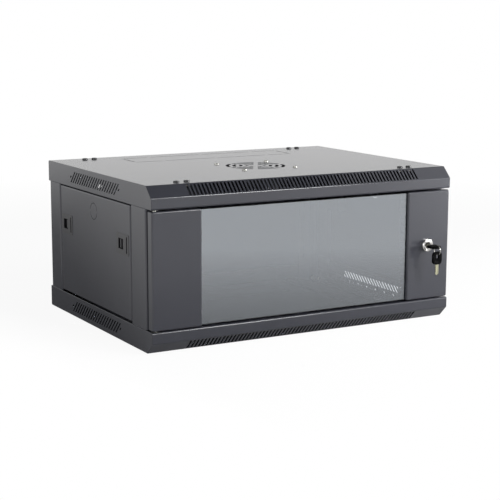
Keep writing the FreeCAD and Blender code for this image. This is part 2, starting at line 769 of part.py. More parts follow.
def latch_housing(middle, reach):
    """Moulded latch case with a finger window, a slit and the bolt's guide hole.

    reach is -1 where the bolt leaves at the front end and 1 at the rear end.
    """
    half_y = LATCH_LENGTH / 2
    half_z = LATCH_HEIGHT / 2
    rim = box(PANEL_FACE - LATCH_PROUD, PANEL_FACE, middle - half_y, middle + half_y,
              LATCH_Z - half_z, LATCH_Z + half_z)
    rim = rounded(rim, LATCH_CORNER, lambda e: is_along(e, X_AXIS))
    case_y = half_y - LATCH_RIM
    case_z = half_z - LATCH_RIM
    case = box(PANEL_FACE, PANEL_FACE + LATCH_DEPTH, middle - case_y, middle + case_y,
               LATCH_Z - case_z, LATCH_Z + case_z)
    cavity = box(PANEL_FACE - LATCH_PROUD + LATCH_WALL, PANEL_FACE + LATCH_DEPTH - LATCH_WALL,
                 middle - case_y + LATCH_WALL, middle + case_y - LATCH_WALL,
                 LATCH_Z - case_z + LATCH_WALL, LATCH_Z + case_z - LATCH_WALL)
    face = (PANEL_FACE - LATCH_PROUD - OVERCUT, PANEL_FACE + LATCH_WALL)
    window_y = middle + LATCH_WINDOW_OFFSET
    window = box(*face, window_y - LATCH_WINDOW_WIDTH / 2, window_y + LATCH_WINDOW_WIDTH / 2,
                 LATCH_Z - LATCH_WINDOW_HEIGHT / 2, LATCH_Z + LATCH_WINDOW_HEIGHT / 2)
    slit_y = middle - LATCH_SLIT_OFFSET
    slit = box(*face, slit_y - LATCH_SLIT_WIDTH / 2, slit_y + LATCH_SLIT_WIDTH / 2,
               LATCH_Z - LATCH_SLIT_HEIGHT / 2, LATCH_Z + LATCH_SLIT_HEIGHT / 2)
    outer, inner = bolt_x()
    end_y = middle + reach * (case_y - LATCH_WALL / 2)
    guide = box(outer - BOLT_GUIDE_GAP, inner + BOLT_GUIDE_GAP, end_y - LATCH_WALL, end_y + LATCH_WALL,
                LATCH_Z - BOLT_HEIGHT / 2 - BOLT_GUIDE_GAP, LATCH_Z + BOLT_HEIGHT / 2 + BOLT_GUIDE_GAP)
    return joined(rim, case).cut([cavity, window, slit, guide])


def latch_slider(middle, reach, seat_edge):
    """Finger plate with its ridge and the bolt that goes behind the post's seat."""
    plate_x = PANEL_FACE + SLIDER_RECESS
    cavity_end = middle - reach * (LATCH_LENGTH / 2 - LATCH_RIM - LATCH_WALL - SLIDER_END_GAP)
    plate_far = cavity_end + reach * SLIDER_LENGTH
    plate = box(plate_x, plate_x + SLIDER_PLATE, min(cavity_end, plate_far), max(cavity_end, plate_far),
                LATCH_Z - SLIDER_HEIGHT / 2, LATCH_Z + SLIDER_HEIGHT / 2)
    ridge_y = middle + LATCH_WINDOW_OFFSET - reach * LATCH_TRAVEL / 2
    ridge_z = LATCH_WINDOW_HEIGHT / 2 - SLIDER_RIDGE_SIDE_GAP
    ridge = box(PANEL_FACE + SLIDER_RIDGE_SINK, plate_x + SLIDER_PLATE,
                ridge_y - SLIDER_RIDGE / 2, ridge_y + SLIDER_RIDGE / 2,
                LATCH_Z - ridge_z, LATCH_Z + ridge_z)
    outer, inner = bolt_x()
    tip = seat_edge - reach * BOLT_END_GAP
    root = plate_far - reach * SLIDER_LENGTH / 2
    bolt = box(outer, inner, min(root, tip), max(root, tip),
               LATCH_Z - BOLT_HEIGHT / 2, LATCH_Z + BOLT_HEIGHT / 2)
    leg = box(plate_x, inner, min(root, plate_far), max(root, plate_far),
              LATCH_Z - BOLT_HEIGHT / 2, LATCH_Z + BOLT_HEIGHT / 2)
    return joined(plate, ridge, leg, bolt)


def carrier_hole_places():
    """Middles of the row of tie holes along a carrier's web, as y."""
    front = FRONT + CARRIER_FRONT_GAP + CARRIER_HOLE_FROM_END
    back = BACK - CARRIER_BACK_GAP - CARRIER_HOLE_FROM_END
    count = int((back - front) / CARRIER_HOLE_PITCH) + 1
    return along((front + back) / 2, count, CARRIER_HOLE_PITCH)


def carrier():
    """Upper left rail carrier: long slots for the rails' bolts, tie holes along its edge."""
    path = [(-CARRIER_INNER, CARRIER_TOP), (-CARRIER_OUTER, CARRIER_TOP),
            (-CARRIER_OUTER, CARRIER_TOP - CARRIER_WEB)]
    skin = path[::-1]
    solid = folded_sheet(skin, CARRIER_SHEET, prism_y, FRONT + CARRIER_FRONT_GAP,
                         BACK - CARRIER_BACK_GAP, Y_AXIS)
    cuts = []
    for x, y in carrier_screw_places():
        cuts.append(many_sided(Vector(x, y, CARRIER_TOP - CARRIER_SHEET - OVERCUT), Z_AXIS,
                               CARRIER_SCREW_RADIUS + SCREW_FIT, CARRIER_SHEET + 2 * OVERCUT))
    web = (-CARRIER_OUTER - OVERCUT, -CARRIER_OUTER + CARRIER_SHEET + OVERCUT)
    slot_half = RAIL_BOLT_RADIUS + RAIL_BOLT_FIT
    bolt_z = TOP - RAIL_BOLT_DROP
    front_bolt = RAIL_FACE_FRONT + RAIL_BOLT_FROM_FACE
    back_bolt = RAIL_FACE_BACK - RAIL_BOLT_FROM_FACE
    for start, end in ((front_bolt, front_bolt + RAIL_TRAVEL), (back_bolt - RAIL_TRAVEL / 2, back_bolt)):
        cuts.append(box(*web, start - slot_half, end + slot_half, bolt_z - slot_half, bolt_z + slot_half))
    hole_z = CARRIER_TOP - CARRIER_WEB + CARRIER_HOLE_FROM_EDGE
    half_y = CARRIER_HOLE_LENGTH / 2
    half_z = CARRIER_HOLE_HEIGHT / 2
    for y in carrier_hole_places():
        cuts.append(box(*web, y - half_y, y + half_y, hole_z - half_z, hole_z + half_z))
    # The web's rear end is notched where the back panel folds in.
    notch_front = POST_BACK - POST_SHEET - BACK_FOLD - CARRIER_NOTCH_GAP
    notch_z = OPENING_HIGH + BACK_LAP + CARRIER_NOTCH_GAP
    cuts.append(box(*web, notch_front, BACK, OPENING_HIGH, notch_z))
    return solid.cut(cuts)


def carrier_screws():
    """Screws of the top carriers, with their heads on the roof."""
    screws = []
    length = COVER_SHEET + CARRIER_SHEET + CARRIER_NUT_HEIGHT
    for x, y in carrier_screw_places():
        screws.append(flat_head_screw(Vector(x, y, TOP), Z_AXIS, CARRIER_SCREW_HEAD_RADIUS,
                                      CARRIER_SCREW_HEAD, CARRIER_SCREW_RADIUS, length))
    return screws


def carrier_nuts():
    """Nuts of the top carriers, under their flanges."""
    nuts = []
    for x, y in carrier_screw_places():
        place = Vector(x, y, CARRIER_TOP - CARRIER_SHEET)
        nuts.append(hexagon_nut(place, -Z_AXIS, CARRIER_NUT_WIDTH, CARRIER_NUT_HEIGHT,
                                many_sided, CARRIER_SCREW_RADIUS + SCREW_FIT))
    return nuts


def floor_screws():
    """Screws of the bottom carriers: heads inside, shanks flush with the base."""
    screws = []
    for x, y in carrier_screw_places():
        place = Vector(x, y, COVER_SHEET + CARRIER_SHEET)
        screws.append(flat_head_screw(place, Z_AXIS, CARRIER_SCREW_HEAD_RADIUS, CARRIER_SCREW_HEAD,
                                      CARRIER_SCREW_RADIUS, COVER_SHEET + CARRIER_SHEET - SCREW_FIT))
    return Part.makeCompound(screws)


def rail_bolt_heights():
    """Heights of the lower and upper bolt of a rail."""
    return RAIL_BOLT_DROP, TOP - RAIL_BOLT_DROP


def rail(face, back_step):
    """Left rail: an angle with square holes; back_step is 1 where its web goes back."""
    low = COVER_SHEET + CARRIER_SHEET + RAIL_END_GAP
    path = [(-RAIL_INNER, face), (-RAIL_OUTER, face), (-RAIL_OUTER, face + back_step * RAIL_WEB)]
    if back_step < 0:
        path = path[::-1]
    solid = folded_sheet(path, RAIL_SHEET, prism_z, low, TOP - low, Z_AXIS)
    half = RAIL_HOLE / 2
    x = -RAIL_INNER - RAIL_HOLE_FROM_EDGE
    first = TOP / 2 - RACK_UNIT_COUNT * RACK_UNIT / 2 + RAIL_HOLE_FIRST
    cuts = []
    for unit in range(RACK_UNIT_COUNT):
        for step in range(3):
            z = first + unit * RACK_UNIT + step * RAIL_HOLE_STEP
            cuts.append(box(x - half, x + half, face - RAIL_SHEET - OVERCUT, face + RAIL_SHEET + OVERCUT,
                            z - half, z + half))
    y = face + back_step * RAIL_BOLT_FROM_FACE
    for z in rail_bolt_heights():
        cuts.append(many_sided(Vector(-RAIL_OUTER - OVERCUT, y, z), X_AXIS,
                               RAIL_BOLT_RADIUS + SCREW_FIT, RAIL_SHEET + 2 * OVERCUT))
    return solid.cut(cuts)


def rail_bolts(face, back_step):
    """Two bolts of a left rail with their nuts outside the carriers' webs."""
    pieces = []
    y = face + back_step * RAIL_BOLT_FROM_FACE
    nut_x = -CARRIER_OUTER - RAIL_NUT_GAP
    head_x = -RAIL_OUTER + RAIL_SHEET
    length = head_x - nut_x + RAIL_NUT_HEIGHT + RAIL_BOLT_TIP
    for z in rail_bolt_heights():
        pieces.append(flat_head_screw(Vector(head_x, y, z), X_AXIS, RAIL_BOLT_HEAD_RADIUS,
                                      RAIL_BOLT_HEAD, RAIL_BOLT_RADIUS, length))
        pieces.append(hexagon_nut(Vector(nut_x, y, z), -X_AXIS, RAIL_NUT_WIDTH, RAIL_NUT_HEIGHT,
                                  many_sided, RAIL_BOLT_RADIUS + SCREW_FIT))
    return Part.makeCompound(pieces)


def stile():
    """Left door stile: a folded steel strip, open behind, with a seat for the glass."""
    left = -DOOR_SIDE
    right = -STILE_EDGE
    outer = box(left, right, FRONT, FRONT + DOOR_DEPTH, DOOR_LOW, DOOR_HIGH)
    outer = rounded(outer, BEND_INSIDE + DOOR_SHEET, lambda e: is_stile_edge(e, FRONT + DOOR_DEPTH))
    inner = box(left + DOOR_SHEET, right - DOOR_SHEET, FRONT + DOOR_SHEET,
                FRONT + DOOR_DEPTH + OVERCUT, DOOR_LOW + DOOR_SHEET, DOOR_HIGH - DOOR_SHEET)
    inner = rounded(inner, BEND_INSIDE, lambda e: is_stile_edge(e, FRONT + DOOR_DEPTH + OVERCUT))
    seat_back = FRONT + GLASS_SETBACK - TAPE_THICKNESS
    relief = box(right - SEAT_WIDTH, right + OVERCUT, seat_back, FRONT + DOOR_DEPTH + OVERCUT,
                 DOOR_LOW + DOOR_SHEET, DOOR_HIGH - DOOR_SHEET)
    seat = box(right - SEAT_WIDTH, right - DOOR_SHEET / 2, seat_back - DOOR_SHEET, seat_back,
               DOOR_LOW + DOOR_SHEET, DOOR_HIGH - DOOR_SHEET)
    return joined(outer.cut([inner, relief]), seat)


def is_stile_edge(edge, open_y):
    """True for every edge of a stile's blank but those of its open back."""
    return not on_plane(edge, Vector(0, open_y, 0), Y_AXIS)


def left_stile():
    """Hinge-side stile with holes for the hinge pins."""
    radius = HINGE_PIN_RADIUS + HINGE_HOLE_FIT
    depth = DOOR_SHEET + 2 * OVERCUT
    cuts = [rod(Vector(HINGE_X, HINGE_Y, z), Z_AXIS, radius, depth)
            for z in (DOOR_LOW - OVERCUT, DOOR_HIGH - DOOR_SHEET - OVERCUT)]
    return stile().cut(cuts)


def right_stile():
    """Lock-side stile with the hole for the lock."""
    hole = rod(Vector(LOCK_X, FRONT - OVERCUT, LOCK_Z), Y_AXIS, LOCK_BODY_RADIUS + LOCK_BODY_FIT,
               DOOR_SHEET + 2 * OVERCUT)
    return mirrored(stile()).cut(hole)


def door_glass():
    """Toughened pane, stuck behind both stiles."""
    half = STILE_EDGE + GLASS_OVERLAP
    front = FRONT + GLASS_SETBACK
    pane = box(-half, half, front, front + GLASS_THICKNESS,
               DOOR_LOW + GLASS_END_GAP, DOOR_HIGH - GLASS_END_GAP)
    return rounded(pane, GLASS_CORNER, lambda e: is_along(e, Y_AXIS))


def glass_tape():
    """Foam tape between the seat of the left stile and the glass."""
    right = -STILE_EDGE - (SEAT_WIDTH - TAPE_WIDTH) / 2
    front = FRONT + GLASS_SETBACK - TAPE_THICKNESS
    return box(right - TAPE_WIDTH, right, front, front + TAPE_THICKNESS,
               DOOR_LOW + GLASS_END_GAP, DOOR_HIGH - GLASS_END_GAP)


def hinge_bush():
    """Upper hinge bush: a flanged sleeve under the roof's front lip."""
    low = Vector(HINGE_X, HINGE_Y, OPENING_HIGH - BUSH_FLANGE)
    sleeve = rod(low, Z_AXIS, BUSH_RADIUS, BUSH_LENGTH)
    flange = rod(low, Z_AXIS, BUSH_FLANGE_RADIUS, BUSH_FLANGE)
    bore = rod(low - Z_AXIS * OVERCUT, Z_AXIS, HINGE_PIN_RADIUS + HINGE_FIT, BUSH_LENGTH + 2 * OVERCUT)
    return joined(sleeve, flange).cut(bore)


def hinge_bushes():
    """Both bushes; the lower one is the upper one turned over."""
    upper = hinge_bush()
    return Part.makeCompound([upper, mirrored(turned_over(upper))])


def lower_hinge_pin():
    """Fixed pin, headed inside the door, that stands in the lower bush."""
    low = OPENING_LOW - HINGE_PIN_REACH
    shoulder = DOOR_LOW + DOOR_SHEET + HINGE_PIN_HEAD_GAP
    shank = rod(Vector(HINGE_X, HINGE_Y, low), Z_AXIS, HINGE_PIN_RADIUS, shoulder - low)
    head = rod(Vector(HINGE_X, HINGE_Y, shoulder), Z_AXIS, HINGE_PIN_HEAD_RADIUS, HINGE_PIN_HEAD)
    return joined(shank, head)


def bracket_top():
    """Upper face of the bracket that guides the sprung hinge bolt."""
    return DOOR_HIGH - BOLT_BRACKET_DROP


def bolt_collar():
    """Lower and upper face of the sprung bolt's collar."""
    upper = DOOR_HIGH - DOOR_SHEET - HINGE_PIN_HEAD_GAP
    return upper - HINGE_PIN_HEAD, upper


def hinge_bolt_bracket():
    """Angle inside the hinge stile: a guide plate and a leg on the stile's back."""
    top = bracket_top()
    left = -DOOR_SIDE + DOOR_SHEET + BEND_INSIDE
    inner_y = FRONT + DOOR_SHEET
    path = [(inner_y, top - BOLT_BRACKET_LEG), (inner_y, top), (FRONT + DOOR_DEPTH, top)]
    angle = folded_sheet(path, BOLT_BRACKET_SHEET, prism_x, left, left + BOLT_BRACKET_WIDTH, X_AXIS)
    hole = rod(Vector(HINGE_X, HINGE_Y, top - BOLT_BRACKET_SHEET - OVERCUT), Z_AXIS,
               HINGE_PIN_RADIUS + HINGE_HOLE_FIT, BOLT_BRACKET_SHEET + 2 * OVERCUT)
    return angle.cut(hole)


def upper_hinge_bolt():
    """Sprung bolt with a collar and a bent finger handle."""
    low = bracket_top() - BOLT_BRACKET_SHEET - BOLT_TAIL
    high = OPENING_HIGH + HINGE_PIN_REACH
    collar_low, collar_high = bolt_collar()
    shank = rod(Vector(HINGE_X, HINGE_Y, low), Z_AXIS, HINGE_PIN_RADIUS, high - low)
    collar = rod(Vector(HINGE_X, HINGE_Y, collar_low), Z_AXIS, HINGE_PIN_HEAD_RADIUS,
                 collar_high - collar_low)
    elbow = Part.makeSphere(HINGE_PIN_RADIUS, Vector(HINGE_X, HINGE_Y, low))
    handle = rod(Vector(HINGE_X, HINGE_Y, low), X_AXIS, HINGE_PIN_RADIUS, BOLT_HANDLE)
    return joined(shank, collar, elbow, handle)


def hinge_bolt_spring():
    """Coil that presses the sprung bolt up, between the bracket and the collar."""
    low = bracket_top() + SPRING_WIRE + SPRING_END_GAP
    high = bolt_collar()[0] - SPRING_WIRE - SPRING_END_GAP
    steps = SPRING_TURN_COUNT * SPRING_SIDE_COUNT
    corners = []
    for step in range(steps + 1):
        angle = 2 * math.pi * step / SPRING_SIDE_COUNT
        corners.append(Vector(HINGE_X + SPRING_RADIUS * math.cos(angle),
                              HINGE_Y + SPRING_RADIUS * math.sin(angle),
                              low + (high - low) * step / steps))
    start = corners[0]
    way = (corners[1] - start).normalize()
    out = way.cross(Z_AXIS).normalize() * SPRING_WIRE
    up = out.cross(way).normalize() * SPRING_WIRE
    section = Part.makePolygon([start + out, start + up, start - out, start - up, start + out])
    mitred = 1
    return Part.makePolygon(corners).makePipeShell([section], True, True, mitred)


def lock_housing():
    """Lock case: a bevelled round face, a threaded neck and the bore of the plug."""
    face = FRONT - LOCK_PROUD
    rose = rod(Vector(LOCK_X, face, LOCK_Z), Y_AXIS, LOCK_FACE_RADIUS, LOCK_PROUD)
    rim = [e for e in rose.Edges if on_plane(e, Vector(0, face, 0), Y_AXIS)]
    rose = rose.makeChamfer(LOCK_FACE_CHAMFER, rim)
    neck_end = CAM_FRONT - PLUG_SINK
    neck = rod(Vector(LOCK_X, FRONT - LOCK_PROUD / 2, LOCK_Z), Y_AXIS, LOCK_BODY_RADIUS,
               neck_end - FRONT + LOCK_PROUD / 2)
    bore = rod(Vector(LOCK_X, face - OVERCUT, LOCK_Z), Y_AXIS, PLUG_RADIUS + PLUG_FIT,
               neck_end - face + 2 * OVERCUT)
    return joined(rose, neck).cut(bore)


def lock_nut():
    """Flat nut that clamps the lock behind the stile."""
    return hexagon_nut(Vector(LOCK_X, FRONT + DOOR_SHEET, LOCK_Z), Y_AXIS, LOCK_NUT_WIDTH,
                       LOCK_NUT_HEIGHT, rod, LOCK_BODY_RADIUS + LOCK_BODY_FIT)


def key_tip_y():
    """How deep the inserted key's tip reaches into the plug."""
    return FRONT - LOCK_PROUD - KEY_STAND + KEY_BLADE_LENGTH


def lock_plug():
    """Turning plug with the keyway in front and a square drive for the cam behind."""
    face = FRONT - LOCK_PROUD + PLUG_SINK
    plug = rod(Vector(LOCK_X, face, LOCK_Z), Y_AXIS, PLUG_RADIUS, CAM_FRONT - face)
    half = PLUG_DRIVE / 2
    drive = box(LOCK_X - half, LOCK_X + half, CAM_FRONT, CAM_FRONT + CAM_SHEET, LOCK_Z - half, LOCK_Z + half)
    way_x = KEY_BLADE_WIDTH / 2 + KEYWAY_FIT
    way_z = KEY_BLADE_SHEET / 2 + KEYWAY_FIT
    keyway = box(LOCK_X - way_x, LOCK_X + way_x, face - OVERCUT, key_tip_y() + KEYWAY_FIT,
                 LOCK_Z - way_z, LOCK_Z + way_z)
    screw = many_sided(Vector(LOCK_X, CAM_FRONT + CAM_SHEET - CAM_SCREW_LENGTH, LOCK_Z), Y_AXIS,
                       CAM_SCREW_RADIUS + SCREW_FIT, CAM_SCREW_LENGTH + OVERCUT)
    return joined(plug, drive).cut([keyway, screw])


def lock_cam():
    """Tongue that turns behind the right post; it hangs down while the door is unlocked."""
    back = CAM_FRONT + CAM_SHEET
    eye = rod(Vector(LOCK_X, CAM_FRONT, LOCK_Z), Y_AXIS, CAM_WIDTH / 2, CAM_SHEET)
    arm = box(LOCK_X - CAM_WIDTH / 2, LOCK_X + CAM_WIDTH / 2, CAM_FRONT, back,
              LOCK_Z - CAM_LENGTH, LOCK_Z)
    half = PLUG_DRIVE / 2 + KEYWAY_FIT
    hole = box(LOCK_X - half, LOCK_X + half, CAM_FRONT - OVERCUT, back + OVERCUT,
               LOCK_Z - half, LOCK_Z + half)
    return joined(eye, arm).cut(hole)


def cam_screw():
    """Screw that holds the cam on the plug."""
    return flat_head_screw(Vector(LOCK_X, CAM_FRONT + CAM_SHEET, LOCK_Z), Y_AXIS, CAM_SCREW_HEAD_RADIUS,
                           CAM_SCREW_HEAD, CAM_SCREW_RADIUS, CAM_SCREW_LENGTH - KEYWAY_FIT)


def key_blade():
    """Cut key blade along +Y from its shoulder at the origin, with a tang behind."""
    half = KEY_BLADE_WIDTH / 2
    outline = [(-half, -KEY_TANG), (half, -KEY_TANG), (half, KEY_BLADE_LENGTH - KEY_TIP),
               (half - KEY_TIP, KEY_BLADE_LENGTH), (KEY_TIP - half, KEY_BLADE_LENGTH),
               (-half, KEY_BLADE_LENGTH - KEY_TIP)]
    blade = prism_z(outline, -KEY_BLADE_SHEET / 2, KEY_BLADE_SHEET / 2)
    notches = []
    for index in range(KEY_NOTCH_COUNT):
        y = KEY_BLADE_LENGTH - KEY_TIP - (index + 1) * KEY_NOTCH_PITCH
        notch = [(-half - OVERCUT, y - KEY_NOTCH_DEPTH - OVERCUT), (KEY_NOTCH_DEPTH - half, y),
                 (-half - OVERCUT, y + KEY_NOTCH_DEPTH + OVERCUT)]
        notches.append(prism_z(notch, -KEY_BLADE_SHEET, KEY_BLADE_SHEET))
    return blade.cut(notches)


def key_bow():
    """Moulded key head along -Y from the shoulder, with a hole for the ring."""
    half_x = BOW_WIDTH / 2
    half_z = BOW_THICKNESS / 2
    head = box(-half_x, half_x, -BOW_LENGTH, 0, -half_z, half_z)
    head = rounded(head, BOW_CORNER, lambda e: is_along(e, Z_AXIS))
    hole_x = BOW_HOLE_WIDTH / 2
    hole = box(-hole_x, hole_x, BOW_BRIDGE - BOW_LENGTH, BOW_BRIDGE + BOW_HOLE_LENGTH - BOW_LENGTH,
               -half_z - OVERCUT, half_z + OVERCUT)
    hole = rounded(hole, BOW_HOLE_CORNER, lambda e: is_along(e, Z_AXIS))
    tang_x = KEY_BLADE_WIDTH / 2
    tang_z = KEY_BLADE_SHEET / 2
    tang = box(-tang_x, tang_x, -KEY_TANG, OVERCUT, -tang_z, tang_z)
    return head.cut([hole, tang])


def ring_centre():
    """Centre of the key ring, which hangs on the end of the inserted key's bow."""
    end = FRONT - LOCK_PROUD - KEY_STAND - BOW_LENGTH
    top = LOCK_Z + BOW_THICKNESS / 2 + RING_TOP_GAP
    return Vector(LOCK_X, end + BOW_BRIDGE / 2, top - RING_INNER_RADIUS)


def in_lock(shape):
    """A key placed in the lock, its bow flat."""
    placed = shape.copy()
    placed.translate(Vector(LOCK_X, FRONT - LOCK_PROUD - KEY_STAND, LOCK_Z))
    return placed


def on_ring(shape):
    """A key hung on the bottom of the ring, blade down and its flat side to the front."""
    placed = shape.copy()
    placed.rotate(Vector(0, 0, 0), X_AXIS, -90)
    centre = ring_centre()
    hole_top = centre.z - RING_INNER_RADIUS + RING_SPARE_GAP + ring_sag()
    placed.translate(Vector(centre.x, centre.y, hole_top + BOW_BRIDGE - BOW_LENGTH))
    return placed


def ring_sag():
    """Rise of the ring's bottom across half the thickness of a bow."""
    half = BOW_THICKNESS / 2
    return RING_INNER_RADIUS - math.sqrt(RING_INNER_RADIUS ** 2 - half ** 2)


def key_ring():
    """Flat split ring in an upright plane from front to back."""
    start = ring_centre() - X_AXIS * (RING_WIDTH / 2)
    outer = rod(start, X_AXIS, RING_INNER_RADIUS + RING_WALL, RING_WIDTH)
    return outer.cut(rod(start, X_AXIS, RING_INNER_RADIUS, RING_WIDTH))


def fan_frame():
    """Square fan housing with two flanges, a waisted duct and a motor plate on arms."""
    high = TOP - COVER_SHEET
    low = high - FAN_DEPTH
    half = FAN_SIZE / 2
    block = box(-half, half, FAN_Y - half, FAN_Y + half, low, high)
    block = rounded(block, FAN_CORNER, lambda e: is_along(e, Z_AXIS))
    axis = Vector(0, FAN_Y, low)
    waist = box(-half - OVERCUT, half + OVERCUT, FAN_Y - half - OVERCUT, FAN_Y + half + OVERCUT,
                low + FAN_FLANGE, high - FAN_FLANGE)
    waist = waist.cut(rod(axis, Z_AXIS, half - FAN_WAIST / 2, FAN_DEPTH))
    duct = rod(axis - Z_AXIS * OVERCUT, Z_AXIS, FAN_BORE / 2, FAN_DEPTH + 2 * OVERCUT)
    holes = [many_sided(Vector(x, y, low - OVERCUT), Z_AXIS, FAN_SCREW_RADIUS + SCREW_FIT,
                        FAN_DEPTH + 2 * OVERCUT) for x, y in fan_screw_places()]
    housing = block.cut([waist, duct] + holes)
    plate = rod(axis, Z_AXIS, FAN_MOTOR_RADIUS, FAN_MOTOR_PLATE)
    arms = []
    for index in range(FAN_ARM_COUNT):
        arm = box(0, FAN_BORE / 2 + OVERCUT, FAN_Y - FAN_ARM_WIDTH / 2, FAN_Y + FAN_ARM_WIDTH / 2,
                  low, low + FAN_MOTOR_PLATE)
        arm.rotate(axis, Z_AXIS, (index + 0.5) * 360 / FAN_ARM_COUNT)
        arms.append(arm)
    bearing = rod(axis - Z_AXIS * OVERCUT, Z_AXIS, FAN_SHAFT_RADIUS + FAN_SHAFT_CLEARANCE,
                  FAN_MOTOR_PLATE + 2 * OVERCUT)
    return joined(housing, plate, *arms).cut(bearing)


def fan_blade(start, end, middle_z):
    """Cambered blade along X: a curved section of even thickness, swept outwards."""
    half = FAN_BLADE_CHORD / 2
    lower = [(FAN_Y - half, middle_z), (FAN_Y, middle_z + FAN_BLADE_CAMBER), (FAN_Y + half, middle_z)]
    upper = [(y, z + FAN_BLADE_SHEET) for y, z in lower]
    low = [Vector(start, y, z) for y, z in lower]
    high = [Vector(start, y, z) for y, z in upper]
    edges = [Part.Arc(*low), Part.LineSegment(low[2], high[2]),
             Part.Arc(*high[::-1]), Part.LineSegment(high[0], low[0])]
    section = Part.Face(Part.Wire([edge.toShape() for edge in edges]))
    return section.extrude(Vector(end - start, 0, 0))


def fan_impeller():
    """Hub with raked, cambered blades, on a shaft that runs in the motor plate."""
    plate_top = TOP - COVER_SHEET - FAN_DEPTH + FAN_MOTOR_PLATE
    low = plate_top + FAN_HUB_GAP
    axis = Vector(0, FAN_Y, low)
    hub = rod(axis, Z_AXIS, FAN_HUB_RADIUS, FAN_HUB_HEIGHT)
    rim = [e for e in hub.Edges if on_plane(e, axis + Z_AXIS * FAN_HUB_HEIGHT, Z_AXIS)]
    hub = hub.makeFillet(FAN_HUB_ROUND, rim)
    shaft = rod(Vector(0, FAN_Y, plate_top - FAN_MOTOR_PLATE), Z_AXIS, FAN_SHAFT_RADIUS,
                FAN_MOTOR_PLATE + FAN_HUB_GAP + OVERCUT)
    tip = FAN_BORE / 2 - FAN_BLADE_TIP_GAP
    sweep = rod(axis, Z_AXIS, tip, FAN_HUB_HEIGHT)
    blades = []
    middle_z = low + FAN_HUB_HEIGHT / 2
    for index in range(FAN_BLADE_COUNT):
        blade = fan_blade(FAN_HUB_RADIUS / 2, tip + OVERCUT, middle_z - FAN_BLADE_CAMBER / 2)
        blade.rotate(Vector(0, FAN_Y, middle_z), X_AXIS, FAN_BLADE_PITCH)
        blade.rotate(axis, Z_AXIS, index * 360 / FAN_BLADE_COUNT)
        blades.append(blade.common(sweep))
    return joined(hub, shaft, *blades)


def fan_screws():
    screws = []
    for x, y in fan_screw_places():
        screws.append(flat_head_screw(Vector(x, y, TOP), Z_AXIS, FAN_SCREW_HEAD_RADIUS, FAN_SCREW_HEAD,
                                      FAN_SCREW_RADIUS, FAN_SCREW_LENGTH))
    return Part.makeCompound(screws)


def save(name, shape):
    """Write one part."""
    shape.exportStep("parts/" + name + ".step")


def save_pair(name, left_shape):
    """Write a left part and its mirror image on the right."""
    save(name.format(side="left"), left_shape)
    save(name.format(side="right"), mirrored(left_shape))


def save_shell():
    save("top_cover", top_cover())
    save("bottom_cover", bottom_cover())
    save_pair("front_{side}_post", front_post())
    save_pair("rear_{side}_post", rear_post())
    save("back_panel", back_panel())
    save("back_panel_screws", back_panel_screws())
    save_pair("{side}_side_panel", side_panel())


def save_latches():
    front, back = latch_middles()
    front_seat = PANEL_FRONT + PANEL_SEAT
    back_seat = PANEL_BACK - PANEL_SEAT
    for end, middle, reach, seat in (("front", front, -1, front_seat), ("rear", back, 1, back_seat)):
        # At rest the bolt's tip stands just clear of the seat's edge.
        save_pair("{side}_" + end + "_latch_housing", latch_housing(middle, reach))
        save_pair("{side}_" + end + "_latch_slider", latch_slider(middle, reach, seat))


def save_rails():
    upper = carrier()
    save_pair("upper_{side}_carrier", upper)
    save_pair("lower_{side}_carrier", mirrored(turned_over(upper)))
    save("roof_carrier_screws", Part.makeCompound(carrier_screws()))
    save("roof_carrier_nuts", Part.makeCompound(carrier_nuts()))
    save("floor_carrier_screws", floor_screws())
    for end, face, step in (("front", RAIL_FACE_FRONT, 1), ("rear", RAIL_FACE_BACK, -1)):
        save_pair(end + "_{side}_rail", rail(face, step))
        save_pair(end + "_{side}_rail_bolts", rail_bolts(face, step))


def save_door():
    save("door_left_stile", left_stile())
    save("door_right_stile", right_stile())
    save("door_glass", door_glass())
    save_pair("{side}_glass_tape", glass_tape())
    save("hinge_bushes", hinge_bushes())
    save("lower_hinge_pin", lower_hinge_pin())
    save("hinge_bolt_bracket", hinge_bolt_bracket())
    save("upper_hinge_bolt", upper_hinge_bolt())
    save("hinge_bolt_spring", hinge_bolt_spring())


def save_lock():
    save("lock_housing", lock_housing())
    save("lock_nut", lock_nut())
    save("lock_plug", lock_plug())
    save("lock_cam", lock_cam())
    save("cam_screw", cam_screw())
    save("key_blade", in_lock(key_blade()))
    save("key_bow", in_lock(key_bow()))
    save("key_ring", key_ring())
    save("spare_key_blade", on_ring(key_blade()))
    save("spare_key_bow", on_ring(key_bow()))


def save_fan():
    save("fan_frame", fan_frame())
    save("fan_impeller", fan_impeller())
    save("fan_screws", fan_screws())


os.makedirs("parts", exist_ok=True)
save_shell()
save_latches()
save_rails()
save_door()
save_lock()
save_fan()
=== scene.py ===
# %% [markdown]
# # A wall-mounted rack cabinet
#
# The real thing is a low box of black sheet steel: two folded covers, four
# corner posts, two lift-off side panels and a door of two steel stiles with a
# pane of glass between them. The sheet metal comes from a CAD model at its real
# size, in metres. This lesson gives every surface its finish, and models the
# small pieces that the CAD keeps plain: screws, lock, keys, ring, spring and pane.

# %% Load the cabinet
import json
import math

import bmesh
import bpy
from mathutils import Matrix, Vector


